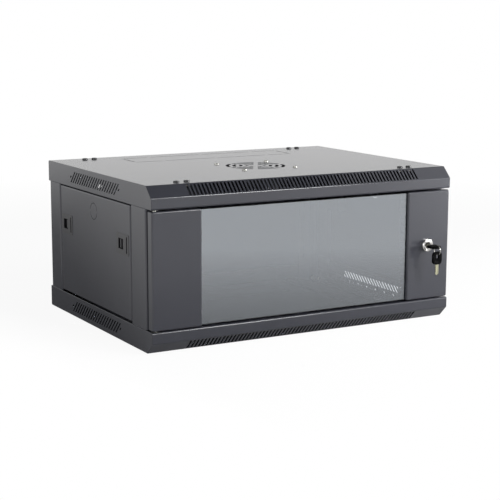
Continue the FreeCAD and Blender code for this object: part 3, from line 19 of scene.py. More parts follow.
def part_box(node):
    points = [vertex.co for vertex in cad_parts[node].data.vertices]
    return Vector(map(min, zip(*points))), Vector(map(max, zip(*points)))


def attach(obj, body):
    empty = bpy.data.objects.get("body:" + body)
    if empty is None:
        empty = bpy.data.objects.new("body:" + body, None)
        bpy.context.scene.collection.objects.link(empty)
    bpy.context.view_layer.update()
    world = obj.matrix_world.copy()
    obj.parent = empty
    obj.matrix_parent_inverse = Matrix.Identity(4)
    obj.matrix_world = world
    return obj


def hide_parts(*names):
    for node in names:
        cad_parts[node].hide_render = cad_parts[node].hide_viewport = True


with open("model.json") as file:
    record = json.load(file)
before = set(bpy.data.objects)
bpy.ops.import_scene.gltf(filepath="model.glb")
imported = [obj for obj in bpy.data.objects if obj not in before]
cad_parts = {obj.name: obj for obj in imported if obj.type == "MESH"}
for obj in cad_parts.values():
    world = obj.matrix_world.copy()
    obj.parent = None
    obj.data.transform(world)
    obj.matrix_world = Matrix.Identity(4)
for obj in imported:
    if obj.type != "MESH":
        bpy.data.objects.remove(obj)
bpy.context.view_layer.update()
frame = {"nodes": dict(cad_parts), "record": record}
nodes = frame["nodes"]
MM = 0.001

# %% [markdown]
# ## Colours and shader nodes
#
# Colours are written as the hex values that a screen shows. Blender computes
# with linear light, so one function turns each value into that. A second small
# function adds a shader node: it sets the node's own options or its inputs, and
# links the inputs that vary over the surface.

# %% Colour and node helpers
def linear(code):
    """Linear colour of an sRGB hex value."""
    shares = [int(code[start:start + 2], 16) / 255 for start in (1, 3, 5)]
    return [s / 12.92 if s <= 0.04045 else ((s + 0.055) / 1.055) ** 2.4 for s in shares] + [1.0]


def add_node(tree, kind, settings, links):
    """A node with its settings made and its inputs linked."""
    node = tree.nodes.new(kind)
    for name, value in settings.items():
        if isinstance(name, int) or name in node.inputs:
            node.inputs[name].default_value = value
        else:
            setattr(node, name, value)
    for name, socket in links.items():
        tree.links.new(socket, node.inputs[name])
    return node


def start_material(name, **inputs):
    """A material whose principled shader has its even inputs set, and its object coordinates."""
    material = bpy.data.materials.new(name)
    material.use_nodes = True
    tree = material.node_tree
    shader = tree.nodes["Principled BSDF"]
    for label, value in inputs.items():
        shader.inputs[label.replace("_", " ")].default_value = value
    place = add_node(tree, "ShaderNodeTexCoord", {}, {})
    return material, tree, shader, place.outputs["Object"]


def per_metre(millimetres):
    """Texture scale that makes a pattern repeat at a real size."""
    return 1.0 / (millimetres * MM)


print("white is", linear("#FFFFFF"), "and mid grey is", [round(v, 3) for v in linear("#808080")])

# %% [markdown]
# ## What most finishes share
#
# Paint, plating and moulded plastic differ in numbers more than in kind. Each has
# a slow drift of colour, a finer grain that changes the gloss, and a relief that
# the same grain gives. So three short functions link a noise to the colour, the
# roughness and the bump, and each finish below chooses its own sizes.

# %% Colour drift, gloss and relief
def noise(tree, place, size, detail=3.0):
    """Fractal noise whose features are about this many millimetres wide."""
    texture = add_node(tree, "ShaderNodeTexNoise", {"Scale": per_metre(size), "Detail": detail},
                       {"Vector": place})
    return texture.outputs["Fac"]


def drift(tree, shader, height, dark, light):
    """Base colour that wanders between two hex values."""
    tone = add_node(tree, "ShaderNodeMix", {"data_type": "RGBA"}, {"Factor": height})
    tone.inputs["A"].default_value = linear(dark)
    tone.inputs["B"].default_value = linear(light)
    tree.links.new(tone.outputs["Result"], shader.inputs["Base Color"])


def gloss(tree, shader, height, low, high):
    """Roughness between two values."""
    level = add_node(tree, "ShaderNodeMapRange", {"To Min": low, "To Max": high}, {"Value": height})
    tree.links.new(level.outputs["Result"], shader.inputs["Roughness"])


def relief(tree, shader, height, strength, depth):
    """Bump of a depth in millimetres."""
    bump = add_node(tree, "ShaderNodeBump", {"Strength": strength, "Distance": depth * MM},
                    {"Height": height})
    tree.links.new(bump.outputs["Normal"], shader.inputs["Normal"])


finishes = {}

# %% [markdown]
# ## Black powder coat
#
# Nearly all of the cabinet is steel sheet with a baked polyester powder coat.
# It is a dielectric over black pigment: dark when looked at straight, and a pale
# mirror of the room at a low angle, which is why the roof looks light grey.
# The powder melts into a fine orange peel. Its grain is about 0.3 mm, too fine
# for this picture, so it is drawn at 1.2 mm.

# %% Powder coat
def powder_coat():
    material, tree, shader, place = start_material("black_powder_coat", IOR=1.3, Coat_Weight=0.8,
                                                   Coat_Roughness=0.12, Coat_IOR=1.5)
    drift(tree, shader, noise(tree, place, 90, 2.0), "#2A2B32", "#32333A")
    peel = noise(tree, place, 1.2)
    gloss(tree, shader, peel, 0.36, 0.46)
    relief(tree, shader, peel, 0.10, 0.04)
    return material


finishes["powder_coat"] = powder_coat()
print("finish:", finishes["powder_coat"].name)

# %% [markdown]
# ## Coated grey glass
#
# The pane is toughened glass with a reflective coating on its front: it shows a
# veil of the bright room, and the dark inside of the cabinet behind it. So the
# front face gets a share of metal in its shader, which is the coating's mirror,
# and the back is plain clear glass. A faint smear changes the gloss. The edges are
# ground, and their near-black colour is painted shade for the light trapped in
# the pane behind them.

# %% Glass
def pane_glass(name, tint, mirror):
    material, tree, shader, place = start_material(
        name, Base_Color=linear(tint), Metallic=mirror, IOR=1.52, Transmission_Weight=1.0)
    gloss(tree, shader, noise(tree, place, 140), 0.0, 0.02)
    return material


def ground_edge_painted_dark():
    material, tree, shader, place = start_material("ground_glass_edge_painted_shade", IOR=1.3)
    grain = noise(tree, place, 0.8)
    # Near-black edge colour: painted shade for the light trapped in the pane.
    drift(tree, shader, grain, "#0E1011", "#16191A")
    gloss(tree, shader, grain, 0.5, 0.7)
    return material


finishes["tinted_glass"] = pane_glass("clear_float_glass", "#F8FAFA", 0.0)
coated_glass = pane_glass("grey_coated_glass", "#F0F7FF", 0.295)
print("finishes:", finishes["tinted_glass"].name, "and", coated_glass.name)

# %% [markdown]
# ## Metals
#
# Nuts and rail bolts are zinc plated and passivated, which leaves a blotchy pale
# grey. The lock is chrome over a die casting: almost a mirror. The key blades are
# nickel silver strip, pale yellow and drawn lengthwise, so their grain is stretched
# along the blade. The ring is nickel plated spring steel.

# %% Zinc, chrome, nickel silver and spring steel
def plated(name, dark, light, blotch, rough_low, rough_high):
    material, tree, shader, place = start_material(name, Metallic=1.0)
    cloud = noise(tree, place, blotch)
    drift(tree, shader, cloud, dark, light)
    gloss(tree, shader, cloud, rough_low, rough_high)
    relief(tree, shader, noise(tree, place, 0.4), 0.05, 0.01)
    return material


def nickel_silver():
    material, tree, shader, place = start_material("nickel_silver_strip", Metallic=1.0)
    stretch = add_node(tree, "ShaderNodeMapping", {"Scale": (8.0, 1.0, 1.0)}, {"Vector": place})
    lines = noise(tree, stretch.outputs["Vector"], 2.0)
    drift(tree, shader, lines, "#ABA98E", "#C8C6AC")
    gloss(tree, shader, lines, 0.22, 0.38)
    relief(tree, shader, lines, 0.15, 0.02)
    return material


finishes["zinc_steel"] = plated("zinc_plated_steel", "#A9A8A2", "#CDCCC6", 3.0, 0.24, 0.42)
finishes["lock_chrome"] = plated("bright_chrome", "#D8D6D4", "#E6E5E3", 6.0, 0.12, 0.22)
finishes["ring_steel"] = plated("nickel_plated_spring_steel", "#C2C1BB", "#D6D5D0", 2.0, 0.14, 0.24)
finishes["key_metal"] = nickel_silver()
print("finishes so far:", sorted(finishes))

# %% [markdown]
# ## Plastics and foam
#
# The key bows are ABS, moulded in a spark-eroded tool, and the latches are
# nylon with a satin skin that comes close to the paint. The hinge bushes are nylon
# with a turned face. The fan has a painted casting around a PBT rotor. The foam
# tape behind the stiles is open cells, which a Voronoi pattern gives; each cell is
# darker in its hollow middle, which is painted shade. Most screws
# that show outside are passivated black and sealed, so they look like plastic too:
# a dark body under a clear skin.

# %% Plastics and foam
def moulded(name, dark, light, grain, rough_low, rough_high, strength, **inputs):
    material, tree, shader, place = start_material(name, **inputs)
    drift(tree, shader, noise(tree, place, 12.0), dark, light)
    skin = noise(tree, place, grain)
    gloss(tree, shader, skin, rough_low, rough_high)
    relief(tree, shader, skin, strength, 0.05)
    return material


def foam_tape():
    material, tree, shader, place = start_material("black_foam_tape", Roughness=0.95)
    cells = add_node(tree, "ShaderNodeTexVoronoi", {"Scale": per_metre(0.7)}, {"Vector": place})
    # Black foam, darker towards each cell's hollow middle: painted shade in the cells.
    drift(tree, shader, cells.outputs["Distance"], "#060606", "#1C1C1D")
    relief(tree, shader, cells.outputs["Distance"], 0.6, 0.2)
    return material


finishes["key_plastic"] = moulded("black_abs", "#040405", "#080809", 0.5, 0.42, 0.58, 0.15, IOR=1.1)
finishes["latch_plastic"] = moulded("black_nylon", "#2A2A2D", "#323235", 0.8, 0.38, 0.50, 0.2, IOR=1.3,
                                    Coat_Weight=0.7, Coat_Roughness=0.15)
finishes["black_zinc"] = moulded("sealed_black_zinc", "#1E1E20", "#2C2C2F", 3.0, 0.34, 0.46, 0.05, IOR=1.3,
                                 Coat_Weight=0.8, Coat_Roughness=0.12)
finishes["bush_nylon"] = moulded("turned_black_nylon", "#101011", "#171718", 1.0, 0.30, 0.42, 0.1)
finishes["fan_casing"] = moulded("painted_die_casting", "#161617", "#1F1F20", 0.9, 0.48, 0.64, 0.3)
finishes["fan_plastic"] = moulded("black_pbt", "#121213", "#19191A", 0.7, 0.36, 0.50, 0.15)
finishes["foam_tape"] = foam_tape()
print("finishes:", sorted(finishes))

# %% [markdown]
# ## Assign the finishes to the CAD parts
#
# Every node of the frame names its material slot in the record, so the finishes
# go on by slot.

# %% Finishes by slot
for part in frame["record"]["subparts"]:
    shown = nodes[part["node"]]
    shown.data.materials.clear()
    shown.data.materials.append(finishes[part["material_slot"]])

# %% [markdown]
# ## Tools for modelling by operators
#
# The pieces below are modelled as by hand: add a primitive, open it in edit mode,
# choose faces or edges, extrude, inset or bevel them, then apply modifiers. An
# operator works on whatever is selected, so each helper first makes its own piece
# the whole selection. Sizes go in as millimetres.

# %% Start, choose, cut and seat a piece
SMOOTH_ANGLE = math.radians(35)
JOIN_DISTANCE = 0.002 * MM


def box_mm(node):
    """Lowest and highest corner of a CAD node in millimetres."""
    low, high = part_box(node)
    return low / MM, high / MM


def only(piece):
    """Make one object the whole selection."""
    bpy.ops.object.select_all(action="DESELECT")
    piece.select_set(True)
    bpy.context.view_layer.objects.active = piece


def named(name):
    """Name the newest primitive and bake its size and place into its mesh."""
    piece = bpy.context.object
    piece.name = name
    bpy.ops.object.transform_apply(location=True, rotation=True, scale=True)
    return piece


def new_block(name, low, high):
    """Box between two corners."""
    bpy.ops.object.select_all(action="DESELECT")
    low, high = Vector(low), Vector(high)
    bpy.ops.mesh.primitive_cube_add(size=1.0, location=(low + high) / 2 * MM)
    bpy.context.object.scale = (high - low) * MM
    return named(name)


def new_disc(name, radius, low, high, sides):
    """Upright disc about the Z axis."""
    bpy.ops.object.select_all(action="DESELECT")
    bpy.ops.mesh.primitive_cylinder_add(vertices=sides, radius=radius * MM, depth=(high - low) * MM,
                                        location=(0, 0, (low + high) / 2 * MM))
    return named(name)


def open_edit(piece, kind="FACE"):
    """Open one piece in edit mode with nothing chosen."""
    only(piece)
    bpy.ops.object.mode_set(mode="EDIT")
    bpy.ops.mesh.select_mode(type=kind)
    bpy.ops.mesh.select_all(action="DESELECT")


def close_edit():
    bpy.ops.object.mode_set(mode="OBJECT")


def choose_faces(piece, test):
    """Choose the faces whose middle, in millimetres, and normal pass a test."""
    bpy.ops.mesh.select_all(action="DESELECT")
    shape = bmesh.from_edit_mesh(piece.data)
    for face in shape.faces:
        if test(face.calc_center_median() / MM, face.normal):
            face.select_set(True)
    bmesh.update_edit_mesh(piece.data)


def choose_edges(piece, test):
    """Choose the edges whose two ends, in millimetres, pass a test."""
    bpy.ops.mesh.select_all(action="DESELECT")
    shape = bmesh.from_edit_mesh(piece.data)
    for edge in shape.edges:
        if test(edge.verts[0].co / MM, edge.verts[1].co / MM):
            edge.select_set(True)
    bmesh.update_edit_mesh(piece.data)


def faces_up(middle, normal):
    return normal.z > 0.9


def faces_down(middle, normal):
    return normal.z < -0.9


def is_upright(first, second):
    return (first - second).to_2d().length < 0.01


def inset(thickness):
    bpy.ops.mesh.inset(thickness=thickness * MM)


def extrude(x, y, z):
    bpy.ops.mesh.extrude_region_move(TRANSFORM_OT_translate={"value": (x * MM, y * MM, z * MM)})


def bevel(width, segments):
    bpy.ops.mesh.bevel(offset=width * MM, segments=segments, affect="EDGES")


def finish_modifier(piece, kind, **settings):
    """Add a modifier and apply it."""
    only(piece)
    modifier = piece.modifiers.new(kind.lower(), kind)
    for name, value in settings.items():
        setattr(modifier, name, value)
    bpy.ops.object.modifier_apply(modifier=modifier.name)


def combine(piece, tool, operation):
    """Cut a tool out of a piece, or weld it on."""
    finish_modifier(piece, "BOOLEAN", operation=operation, object=tool, solver="EXACT")
    bpy.data.objects.remove(tool)


def place_piece(piece, place, tilt=(0, 0, 0)):
    """Turn a piece about the origin, move it and bake both into its mesh."""
    only(piece)
    piece.rotation_euler = [math.radians(angle) for angle in tilt]
    piece.location = Vector(place) * MM
    bpy.ops.object.transform_apply(location=True, rotation=True, scale=True)


def copy_of(piece, name):
    """A copy with its own mesh."""
    only(piece)
    bpy.ops.object.duplicate(linked=False)
    bpy.context.object.name = name
    return bpy.context.object


def seat(piece, body, finish, *stands_for):
    """Clean a finished piece, give it its finish, and let it stand for CAD nodes."""
    open_edit(piece)
    bpy.ops.mesh.select_all(action="SELECT")
    bpy.ops.mesh.remove_doubles(threshold=JOIN_DISTANCE)
    bpy.ops.mesh.normals_make_consistent(inside=False)
    close_edit()
    bpy.ops.object.shade_smooth_by_angle(angle=SMOOTH_ANGLE)
    finish_modifier(piece, "WEIGHTED_NORMAL", keep_sharp=True)
    if not piece.data.materials:
        piece.data.materials.append(finishes[finish])
    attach(piece, body)
    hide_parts(*stands_for)
    print(piece.name, len(piece.data.polygons), "faces, rides on", body)


# %% [markdown]
# ## Pan-head screws
#
# The roof shows pairs of pan-head screws with a cross recess. A screw is a disc
# whose upper rim is bevelled round, whose underside is inset and extruded to a
# shank, and into which two tapered wings are cut. One screw of each size is
# modelled, then copied to every solid of its CAD node: a merged copy of the node
# comes apart into loose solids, and each one's box says where a screw goes. The fan
# has bright zinc screws of its own.

# %% One screw
SHANK_TIP = 1.0
TIP_TAPER = 0.7
SCREW_SIDES = 28
DOME_SHARE = 0.6
RECESS_LENGTH = 0.55
RECESS_WIDTH = 0.13
RECESS_FLOOR = 0.25
RECESS_TAPER = 0.6


def pan_head_screw(head_radius, head, shank_radius, length):
    """Screw along Z: the head stands on z = 0, the shank goes down."""
    screw = new_disc("pan_head_screw", head_radius, 0, head, SCREW_SIDES)
    open_edit(screw)
    choose_faces(screw, faces_up)
    bevel(DOME_SHARE * head, 4)
    choose_faces(screw, faces_down)
    inset(head_radius - shank_radius)
    extrude(0, 0, SHANK_TIP - length)
    extrude(0, 0, -SHANK_TIP)
    bpy.ops.transform.resize(value=(TIP_TAPER, TIP_TAPER, 1.0))
    close_edit()
    wing_length = RECESS_LENGTH * head_radius
    wing_width = RECESS_WIDTH * head_radius
    for long_x, long_y in ((wing_length, wing_width), (wing_width, wing_length)):
        wing = new_block("recess", (-long_x, -long_y, RECESS_FLOOR * head), (long_x, long_y, 1.5 * head))
        open_edit(wing)
        choose_faces(wing, faces_down)
        bpy.ops.transform.resize(value=(RECESS_TAPER, RECESS_TAPER, 1.0))
        close_edit()
        combine(screw, wing, "DIFFERENCE")
    return screw


# %% Screws at every place
def solid_boxes(node):
    """Boxes of the separate solids of a CAD node, in millimetres."""
    merged = copy_of(nodes[node], "loose_solids")
    open_edit(merged)
    bpy.ops.mesh.select_all(action="SELECT")
    bpy.ops.mesh.remove_doubles(threshold=JOIN_DISTANCE)
    bpy.ops.mesh.separate(type="LOOSE")
    close_edit()
    boxes = []
    for solid in list(bpy.context.selected_objects):
        corners = [vertex.co / MM for vertex in solid.data.vertices]
        boxes.append((Vector(map(min, zip(*corners))), Vector(map(max, zip(*corners)))))
        bpy.data.objects.remove(solid)
    return sorted(boxes, key=lambda pair: tuple(pair[0]))


def set_screws(node, body, finish, head, shank_radius, axis):
    """Put a copy of one screw at each solid of a node; axis 1 is +Y and 2 is +Z."""
    boxes = solid_boxes(node)
    low, high = boxes[0]
    length = high[axis] - low[axis] - head
    model = pan_head_screw((high.x - low.x) / 2, head, shank_radius, length)
    copies = []
    for low, high in boxes:
        place = (low + high) / 2
        place[axis] = high[axis] - head
        screw = copy_of(model, node + "_copy")
        place_piece(screw, place, (-90, 0, 0) if axis == 1 else (0, 0, 0))
        copies.append(screw)
    bpy.data.objects.remove(model)
    bpy.ops.object.select_all(action="DESELECT")
    for screw in copies:
        screw.select_set(True)
    bpy.context.view_layer.objects.active = copies[0]
    bpy.ops.object.join()
    copies[0].name = "cross_recess_" + node
    seat(copies[0], body, finish, node)


# Node, body, finish, head height and shank radius in millimetres, axis
SCREW_SETS = (
    ("roof_carrier_screws", "cabinet", "black_zinc", 2.6, 3.0, 2),
    ("floor_carrier_screws", "cabinet", "black_zinc", 2.6, 3.0, 2),
    ("fan_screws", "cabinet", "black_zinc", 2.0, 2.1, 2),
    ("back_panel_screws", "cabinet", "black_zinc", 2.4, 2.5, 1),
    ("cam_screw", "lock_barrel", "zinc_steel", 2.5, 2.0, 1),
)
for screw_set in SCREW_SETS:
    set_screws(*screw_set)
bpy.data.objects["cross_recess_fan_screws"].data.materials[0] = finishes["zinc_steel"]

# %% [markdown]
# ## Cam lock
#
# The lock is a chromed rose with a rounded rim, a collar round the plug and a
# threaded neck behind the stile. It is one disc: bevel the rim, inset and sink the
# face, then extrude the neck ring by ring, a little wider and a little narrower,
# for the thread. The plug is steel painted dark as shade round the key at the
# lock's middle, with a keyway cut through its front.

# %% Lock rose and plug
THREAD_STEPS = 11
THREAD_CREST = 0.6
ROSE_ROUND = 2.2
FACE_BORDER = 0.9
FACE_SINK = 0.5
NECK_RADIUS = 9.5
PLUG_RIM = 0.5
PLUG_CLEARANCE = 0.1
KEYWAY_CLEARANCE = 0.2
DRIVE_WIDTH = 7.0


def lock_rose(face_radius, proud, neck_radius, neck_length, bore_radius):
    """Lock case about Z, with the stile's front at z = 0 and its face upwards."""
    rose = new_disc("lock_rose", face_radius, 0, proud, 64)
    open_edit(rose)
    choose_faces(rose, faces_up)
    bevel(ROSE_ROUND, 6)
    choose_faces(rose, faces_up)
    inset(FACE_BORDER)
    extrude(0, 0, -FACE_SINK)
    choose_faces(rose, faces_down)
    inset(face_radius - neck_radius)
    shrink = (neck_radius - THREAD_CREST) / neck_radius
    step = neck_length / (2 * THREAD_STEPS)
    for index in range(THREAD_STEPS):
        extrude(0, 0, -step)
        bpy.ops.transform.resize(value=(shrink, shrink, 1.0))
        extrude(0, 0, -step)
        bpy.ops.transform.resize(value=(1 / shrink, 1 / shrink, 1.0))
    close_edit()
    combine(rose, new_disc("bore", bore_radius, -neck_length - 1, proud + 1, 48), "DIFFERENCE")
    return rose


def keyed_plug(radius, front, back, way_width, way_height, way_depth, drive, drive_end):
    """Plug about Z with a keyway in front and a square drive behind."""
    plug = new_disc("lock_barrel_plug", radius, back, front, 48)
    open_edit(plug)
    choose_faces(plug, faces_up)
    bevel(PLUG_RIM, 3)
    close_edit()
    square = new_block("drive", (-drive / 2, -drive / 2, drive_end), (drive / 2, drive / 2, back + 1))
    combine(plug, square, "UNION")
    way = new_block("keyway", (-way_width / 2, -way_height / 2, way_depth),
                    (way_width / 2, way_height / 2, front + 1))
    combine(plug, way, "DIFFERENCE")
    return plug


lock_low, lock_high = box_mm("lock_housing")
plug_low, plug_high = box_mm("lock_plug")
stile_front = box_mm("door_right_stile")[0].y
lock_middle = (lock_low + lock_high) / 2
lock_seat = (lock_middle.x, stile_front, lock_middle.z)
plug_radius = (plug_high.x - plug_low.x) / 2
rose = lock_rose((lock_high.x - lock_low.x) / 2, stile_front - lock_low.y, NECK_RADIUS,
                 lock_high.y - stile_front, plug_radius + PLUG_CLEARANCE)
place_piece(rose, lock_seat, (90, 0, 0))
seat(rose, "door", "lock_chrome", "lock_housing")
blade_low, blade_high = box_mm("key_blade")
cam_front = box_mm("lock_cam")[0].y
plug = keyed_plug(plug_radius, stile_front - plug_low.y, stile_front - cam_front,
                  blade_high.x - blade_low.x + KEYWAY_CLEARANCE,
                  blade_high.z - blade_low.z + KEYWAY_CLEARANCE,
                  stile_front - blade_high.y - KEYWAY_CLEARANCE / 2, DRIVE_WIDTH, stile_front - plug_high.y)
place_piece(plug, lock_seat, (90, 0, 0))
# The plug's darker steel is painted shade round the key in the lock.
plug.data.materials.append(plated("plug_steel_painted_shade", "#3E3D3B", "#565452", 2.0, 0.22, 0.34))
seat(plug, "lock_barrel", "lock_chrome", "lock_plug")

# %% [markdown]
# ## Keys
#
# Both keys are alike: a flat blade with three cuts, a groove and a pointed tip,
# and a moulded bow with round corners, a hole for the ring and a hollow for the
# thumb on each side. One blade and one bow are modelled lying along Y, shoulder
# at the origin. The first pair goes into the lock, the second hangs on the ring.

# %% Blade and bow
KEY_TANG = 9.0
KEY_TIP = 2.5
KEY_CUTS = 3
KEY_CUT_PITCH = 3.6
KEY_CUT_SIZE = 2.4
GROOVE_WIDTH = 1.3
GROOVE_DEPTH = 0.45
GROOVE_SIDE = 0.6
GROOVE_START = 0.8
KEY_CUT_OUTSET = 0.4
BOW_CORNER = 6.5
BOW_EDGE = 0.9
BOW_HOLE = (6.2, 7.8)
BOW_HOLE_CORNER = 1.0
BOW_BRIDGE = 4.8
THUMB_PLACE = 7.0
THUMB_LIFT = 0.7
THUMB_SIZE = (7.0, 4.2, 1.3)


def cut_blade(width, thickness, length):
    """Key blade along +Y from the shoulder, with its tang behind."""
    blade = new_block("cut_key_blade", (-width / 2, -KEY_TANG, -thickness / 2),
                      (width / 2, length, thickness / 2))
    open_edit(blade, "EDGE")
    choose_edges(blade, lambda a, b: is_upright(a, b) and a.y > 0)
    bevel(KEY_TIP, 1)
    close_edit()
    for index in range(KEY_CUTS):
        half = KEY_CUT_SIZE / 2
        notch = new_block("notch", (-half, -half, -thickness), (half, half, thickness))
        place_piece(notch, (0, 0, 0), (0, 0, 45))
        place_piece(notch, (-width / 2 - KEY_CUT_OUTSET, length - KEY_TIP - (index + 1) * KEY_CUT_PITCH, 0))
        combine(blade, notch, "DIFFERENCE")
    for side in (-1, 1):
        floor_z = side * (thickness / 2 - GROOVE_DEPTH)
        groove = new_block("groove", (GROOVE_SIDE, GROOVE_START, min(floor_z, side * thickness)),
                           (GROOVE_SIDE + GROOVE_WIDTH, length + 1, max(floor_z, side * thickness)))
        combine(blade, groove, "DIFFERENCE")
    return blade


def moulded_bow(width, length, thickness, blade_width, blade_thickness):
    """Key head along -Y from the shoulder."""
    bow = new_block("moulded_key_bow", (-width / 2, -length, -thickness / 2), (width / 2, 0, thickness / 2))
    open_edit(bow, "EDGE")
    choose_edges(bow, is_upright)
    bevel(BOW_CORNER, 7)
    bpy.ops.mesh.select_mode(type="FACE")
    choose_faces(bow, lambda middle, normal: abs(normal.z) > 0.9)
    bevel(BOW_EDGE, 3)
    close_edit()
    hole_low = BOW_BRIDGE - length
    hole = new_block("hole", (-BOW_HOLE[0] / 2, hole_low, -thickness),
                     (BOW_HOLE[0] / 2, hole_low + BOW_HOLE[1], thickness))
    open_edit(hole, "EDGE")
    choose_edges(hole, is_upright)
    bevel(BOW_HOLE_CORNER, 3)
    close_edit()
    combine(bow, hole, "DIFFERENCE")
    for side in (-1, 1):
        bpy.ops.object.select_all(action="DESELECT")
        middle = (0, -THUMB_PLACE * MM, side * (thickness / 2 + THUMB_LIFT) * MM)
        bpy.ops.mesh.primitive_uv_sphere_add(segments=32, ring_count=16, radius=MM, location=middle)
        bpy.context.object.scale = THUMB_SIZE
        combine(bow, named("thumb_hollow"), "DIFFERENCE")
    tang = new_block("tang", (-blade_width / 2, -KEY_TANG, -blade_thickness / 2),
                     (blade_width / 2, 1, blade_thickness / 2))
    combine(bow, tang, "DIFFERENCE")
    return bow


bow_low, bow_high = box_mm("key_bow")
blade_size = blade_high - blade_low
bow_size = bow_high - bow_low
blade = cut_blade(blade_size.x, blade_size.z, blade_size.y - KEY_TANG)
bow = moulded_bow(bow_size.x, bow_size.y, bow_size.z, blade_size.x, blade_size.z)
spare_low, spare_high = box_mm("spare_key_bow")
spare_middle = (spare_low + spare_high) / 2
shoulder = (lock_middle.x, bow_high.y, lock_middle.z)
spare_shoulder = (spare_middle.x, spare_middle.y, spare_low.z)
for piece, name, finish in ((blade, "blade", "key_metal"), (bow, "bow", "key_plastic")):
    spare = copy_of(piece, "spare_" + piece.name)
    place_piece(piece, shoulder)
    seat(piece, "lock_barrel", finish, "key_" + name)
    place_piece(spare, spare_shoulder, (-90, 0, 0))
    seat(spare, "spare_key", finish, "spare_key_" + name)

# %% [markdown]
# ## Split ring and hinge spring
#
# Both are wire wound round an axis. A small section is drawn beside the axis, its
# corners are rounded, and a Screw modifier turns it round while it climbs: almost
# two flat turns for the key ring, six round ones for the spring. The open ends
# are filled afterwards.

# %% Wound wire
def wound_wire(name, width, height, corner, radius, turns, climb, steps):
    """Wire of a rounded section wound about Z."""
    bpy.ops.object.select_all(action="DESELECT")
    bpy.ops.mesh.primitive_plane_add(size=1.0, location=(radius * MM, 0, -climb / 2 * MM),
                                     rotation=(math.pi / 2, 0, 0))
    bpy.context.object.scale = (width * MM, height * MM, 1.0)
    wire = named(name)
    open_edit(wire, "VERT")
    bpy.ops.mesh.select_all(action="SELECT")
    bpy.ops.mesh.bevel(offset=corner * MM, segments=3, affect="VERTICES")
    close_edit()
    finish_modifier(wire, "SCREW", axis="Z", angle=math.tau * turns, screw_offset=climb * MM,
                    steps=steps, render_steps=steps)
    open_edit(wire)
    bpy.ops.mesh.select_all(action="SELECT")
    bpy.ops.mesh.remove_doubles(threshold=JOIN_DISTANCE)
    bpy.ops.mesh.fill_holes(sides=0)
    close_edit()
    return wire


ring_low, ring_high = box_mm("key_ring")
RING_WALL = 1.5
RING_TURN = 0.62
RING_CORNER = 0.2
RING_TURNS = 1.9
RING_STEPS = 110
ring_radius = (ring_high.z - ring_low.z - RING_WALL) / 2
ring = wound_wire("split_key_ring", RING_WALL, RING_TURN, RING_CORNER, ring_radius, RING_TURNS,
                  ring_high.x - ring_low.x - RING_TURN, RING_STEPS)
place_piece(ring, (ring_low + ring_high) / 2, (0, 90, 0))
seat(ring, "ring", "ring_steel", "key_ring")

spring_low, spring_high = box_mm("hinge_bolt_spring")
SPRING_WIRE = 1.3
SPRING_CORNER = 0.6
SPRING_TURNS = 6
SPRING_STEPS = 150
spring_radius = (spring_high.x - spring_low.x - SPRING_WIRE) / 2
spring = wound_wire("wound_hinge_spring", SPRING_WIRE, SPRING_WIRE, SPRING_CORNER, spring_radius,
                    SPRING_TURNS, spring_high.z - spring_low.z - SPRING_WIRE, SPRING_STEPS)
place_piece(spring, (spring_low + spring_high) / 2)
seat(spring, "door", "zinc_steel", "hinge_bolt_spring")

# %% [markdown]
# ## Door pane
#
# The pane is a slab with ground edges. A cube at the CAD node's box gets every
# edge bevelled. Its front face takes the coated finish, its back stays clear, and
# the faces around them are ground.

# %% Pane
PANE_EDGE = 0.6
pane_low, pane_high = box_mm("door_glass")
pane = new_block("door_pane", pane_low, pane_high)
open_edit(pane, "EDGE")
bpy.ops.mesh.select_all(action="SELECT")
bevel(PANE_EDGE, 2)
close_edit()
pane.data.materials.append(finishes["tinted_glass"])
pane.data.materials.append(coated_glass)
pane.data.materials.append(ground_edge_painted_dark())
open_edit(pane)
for index, test in ((1, lambda middle, normal: normal.y < -0.99),
                    (2, lambda middle, normal: abs(normal.y) < 0.99)):
    choose_faces(pane, test)
    pane.active_material_index = index
    bpy.ops.object.material_slot_assign()
close_edit()
seat(pane, "door", "tinted_glass", "door_glass")

# %% [markdown]
# ## Floor and sky
#
# The picture is a catalogue shot on white paper under a dark ceiling, so that the
# slanted front edge of the roof stays dark. The camera sees the paper as white,
# straight or through the glass, with a trace of the cabinet's real shadow near its
# foot. Paint and coated glass mirror the paper at a low angle, and what they show
# there is a painted level of light and shade, not the lamps' light on it: bright
# in front and to the left, a painted shade near the cabinet, and white again far
# away. Three ramps over the floor paint that level, and the brightest of them counts.

# %% Floor and sky
# Lowest level of the painted shade by the cabinet, in what paint and glass mirror.
PAINTED_SHADE = 0.11
PAPER = 1.0
LEFT_SLOPE = (-2.46, -0.73, 0)
LEFT_REACH = (0.79, 1.68)
FRONT_SLOPE = (0.33, -0.72, 0)
FRONT_REACH = (-0.05, 0.84)
FAR_REACH = (1.2, 2.9)
FLOOR_SIZE = 16.0
FLOOR_DROP = 0.5
LEAST_WHITE = 0.9
WHITE_FROM = 0.6
SKY_LOW = 0.05
SKY_HIGH = 0.7
SKY_TOP = 0.12


def straight_view(tree, path):
    """1 for camera rays, and for rays that only passed through glass."""
    unscattered = add_node(tree, "ShaderNodeMath", {"operation": "LESS_THAN", 1: 0.5},
                           {0: path.outputs["Diffuse Depth"]})
    through = add_node(tree, "ShaderNodeMath", {"operation": "MULTIPLY"},
                       {0: path.outputs["Is Transmission Ray"], 1: unscattered.outputs["Value"]})
    seen = add_node(tree, "ShaderNodeMath", {"operation": "MAXIMUM"},
                    {0: path.outputs["Is Camera Ray"], 1: through.outputs["Value"]})
    return seen.outputs["Value"]


def painted_ramp(tree, value, start, end):
    """Painted floor level for reflections: it grows from a painted shade by the cabinet to plain paper
    between two values.
    """
    level = add_node(tree, "ShaderNodeMapRange",
                     {"From Min": start, "From Max": end, "To Min": PAINTED_SHADE, "To Max": PAPER},
                     {"Value": value.outputs["Value"]})
    return level.outputs["Result"]


def brighter(tree, first, second):
    return add_node(tree, "ShaderNodeMath", {"operation": "MAXIMUM"}, {0: first, 1: second}).outputs["Value"]


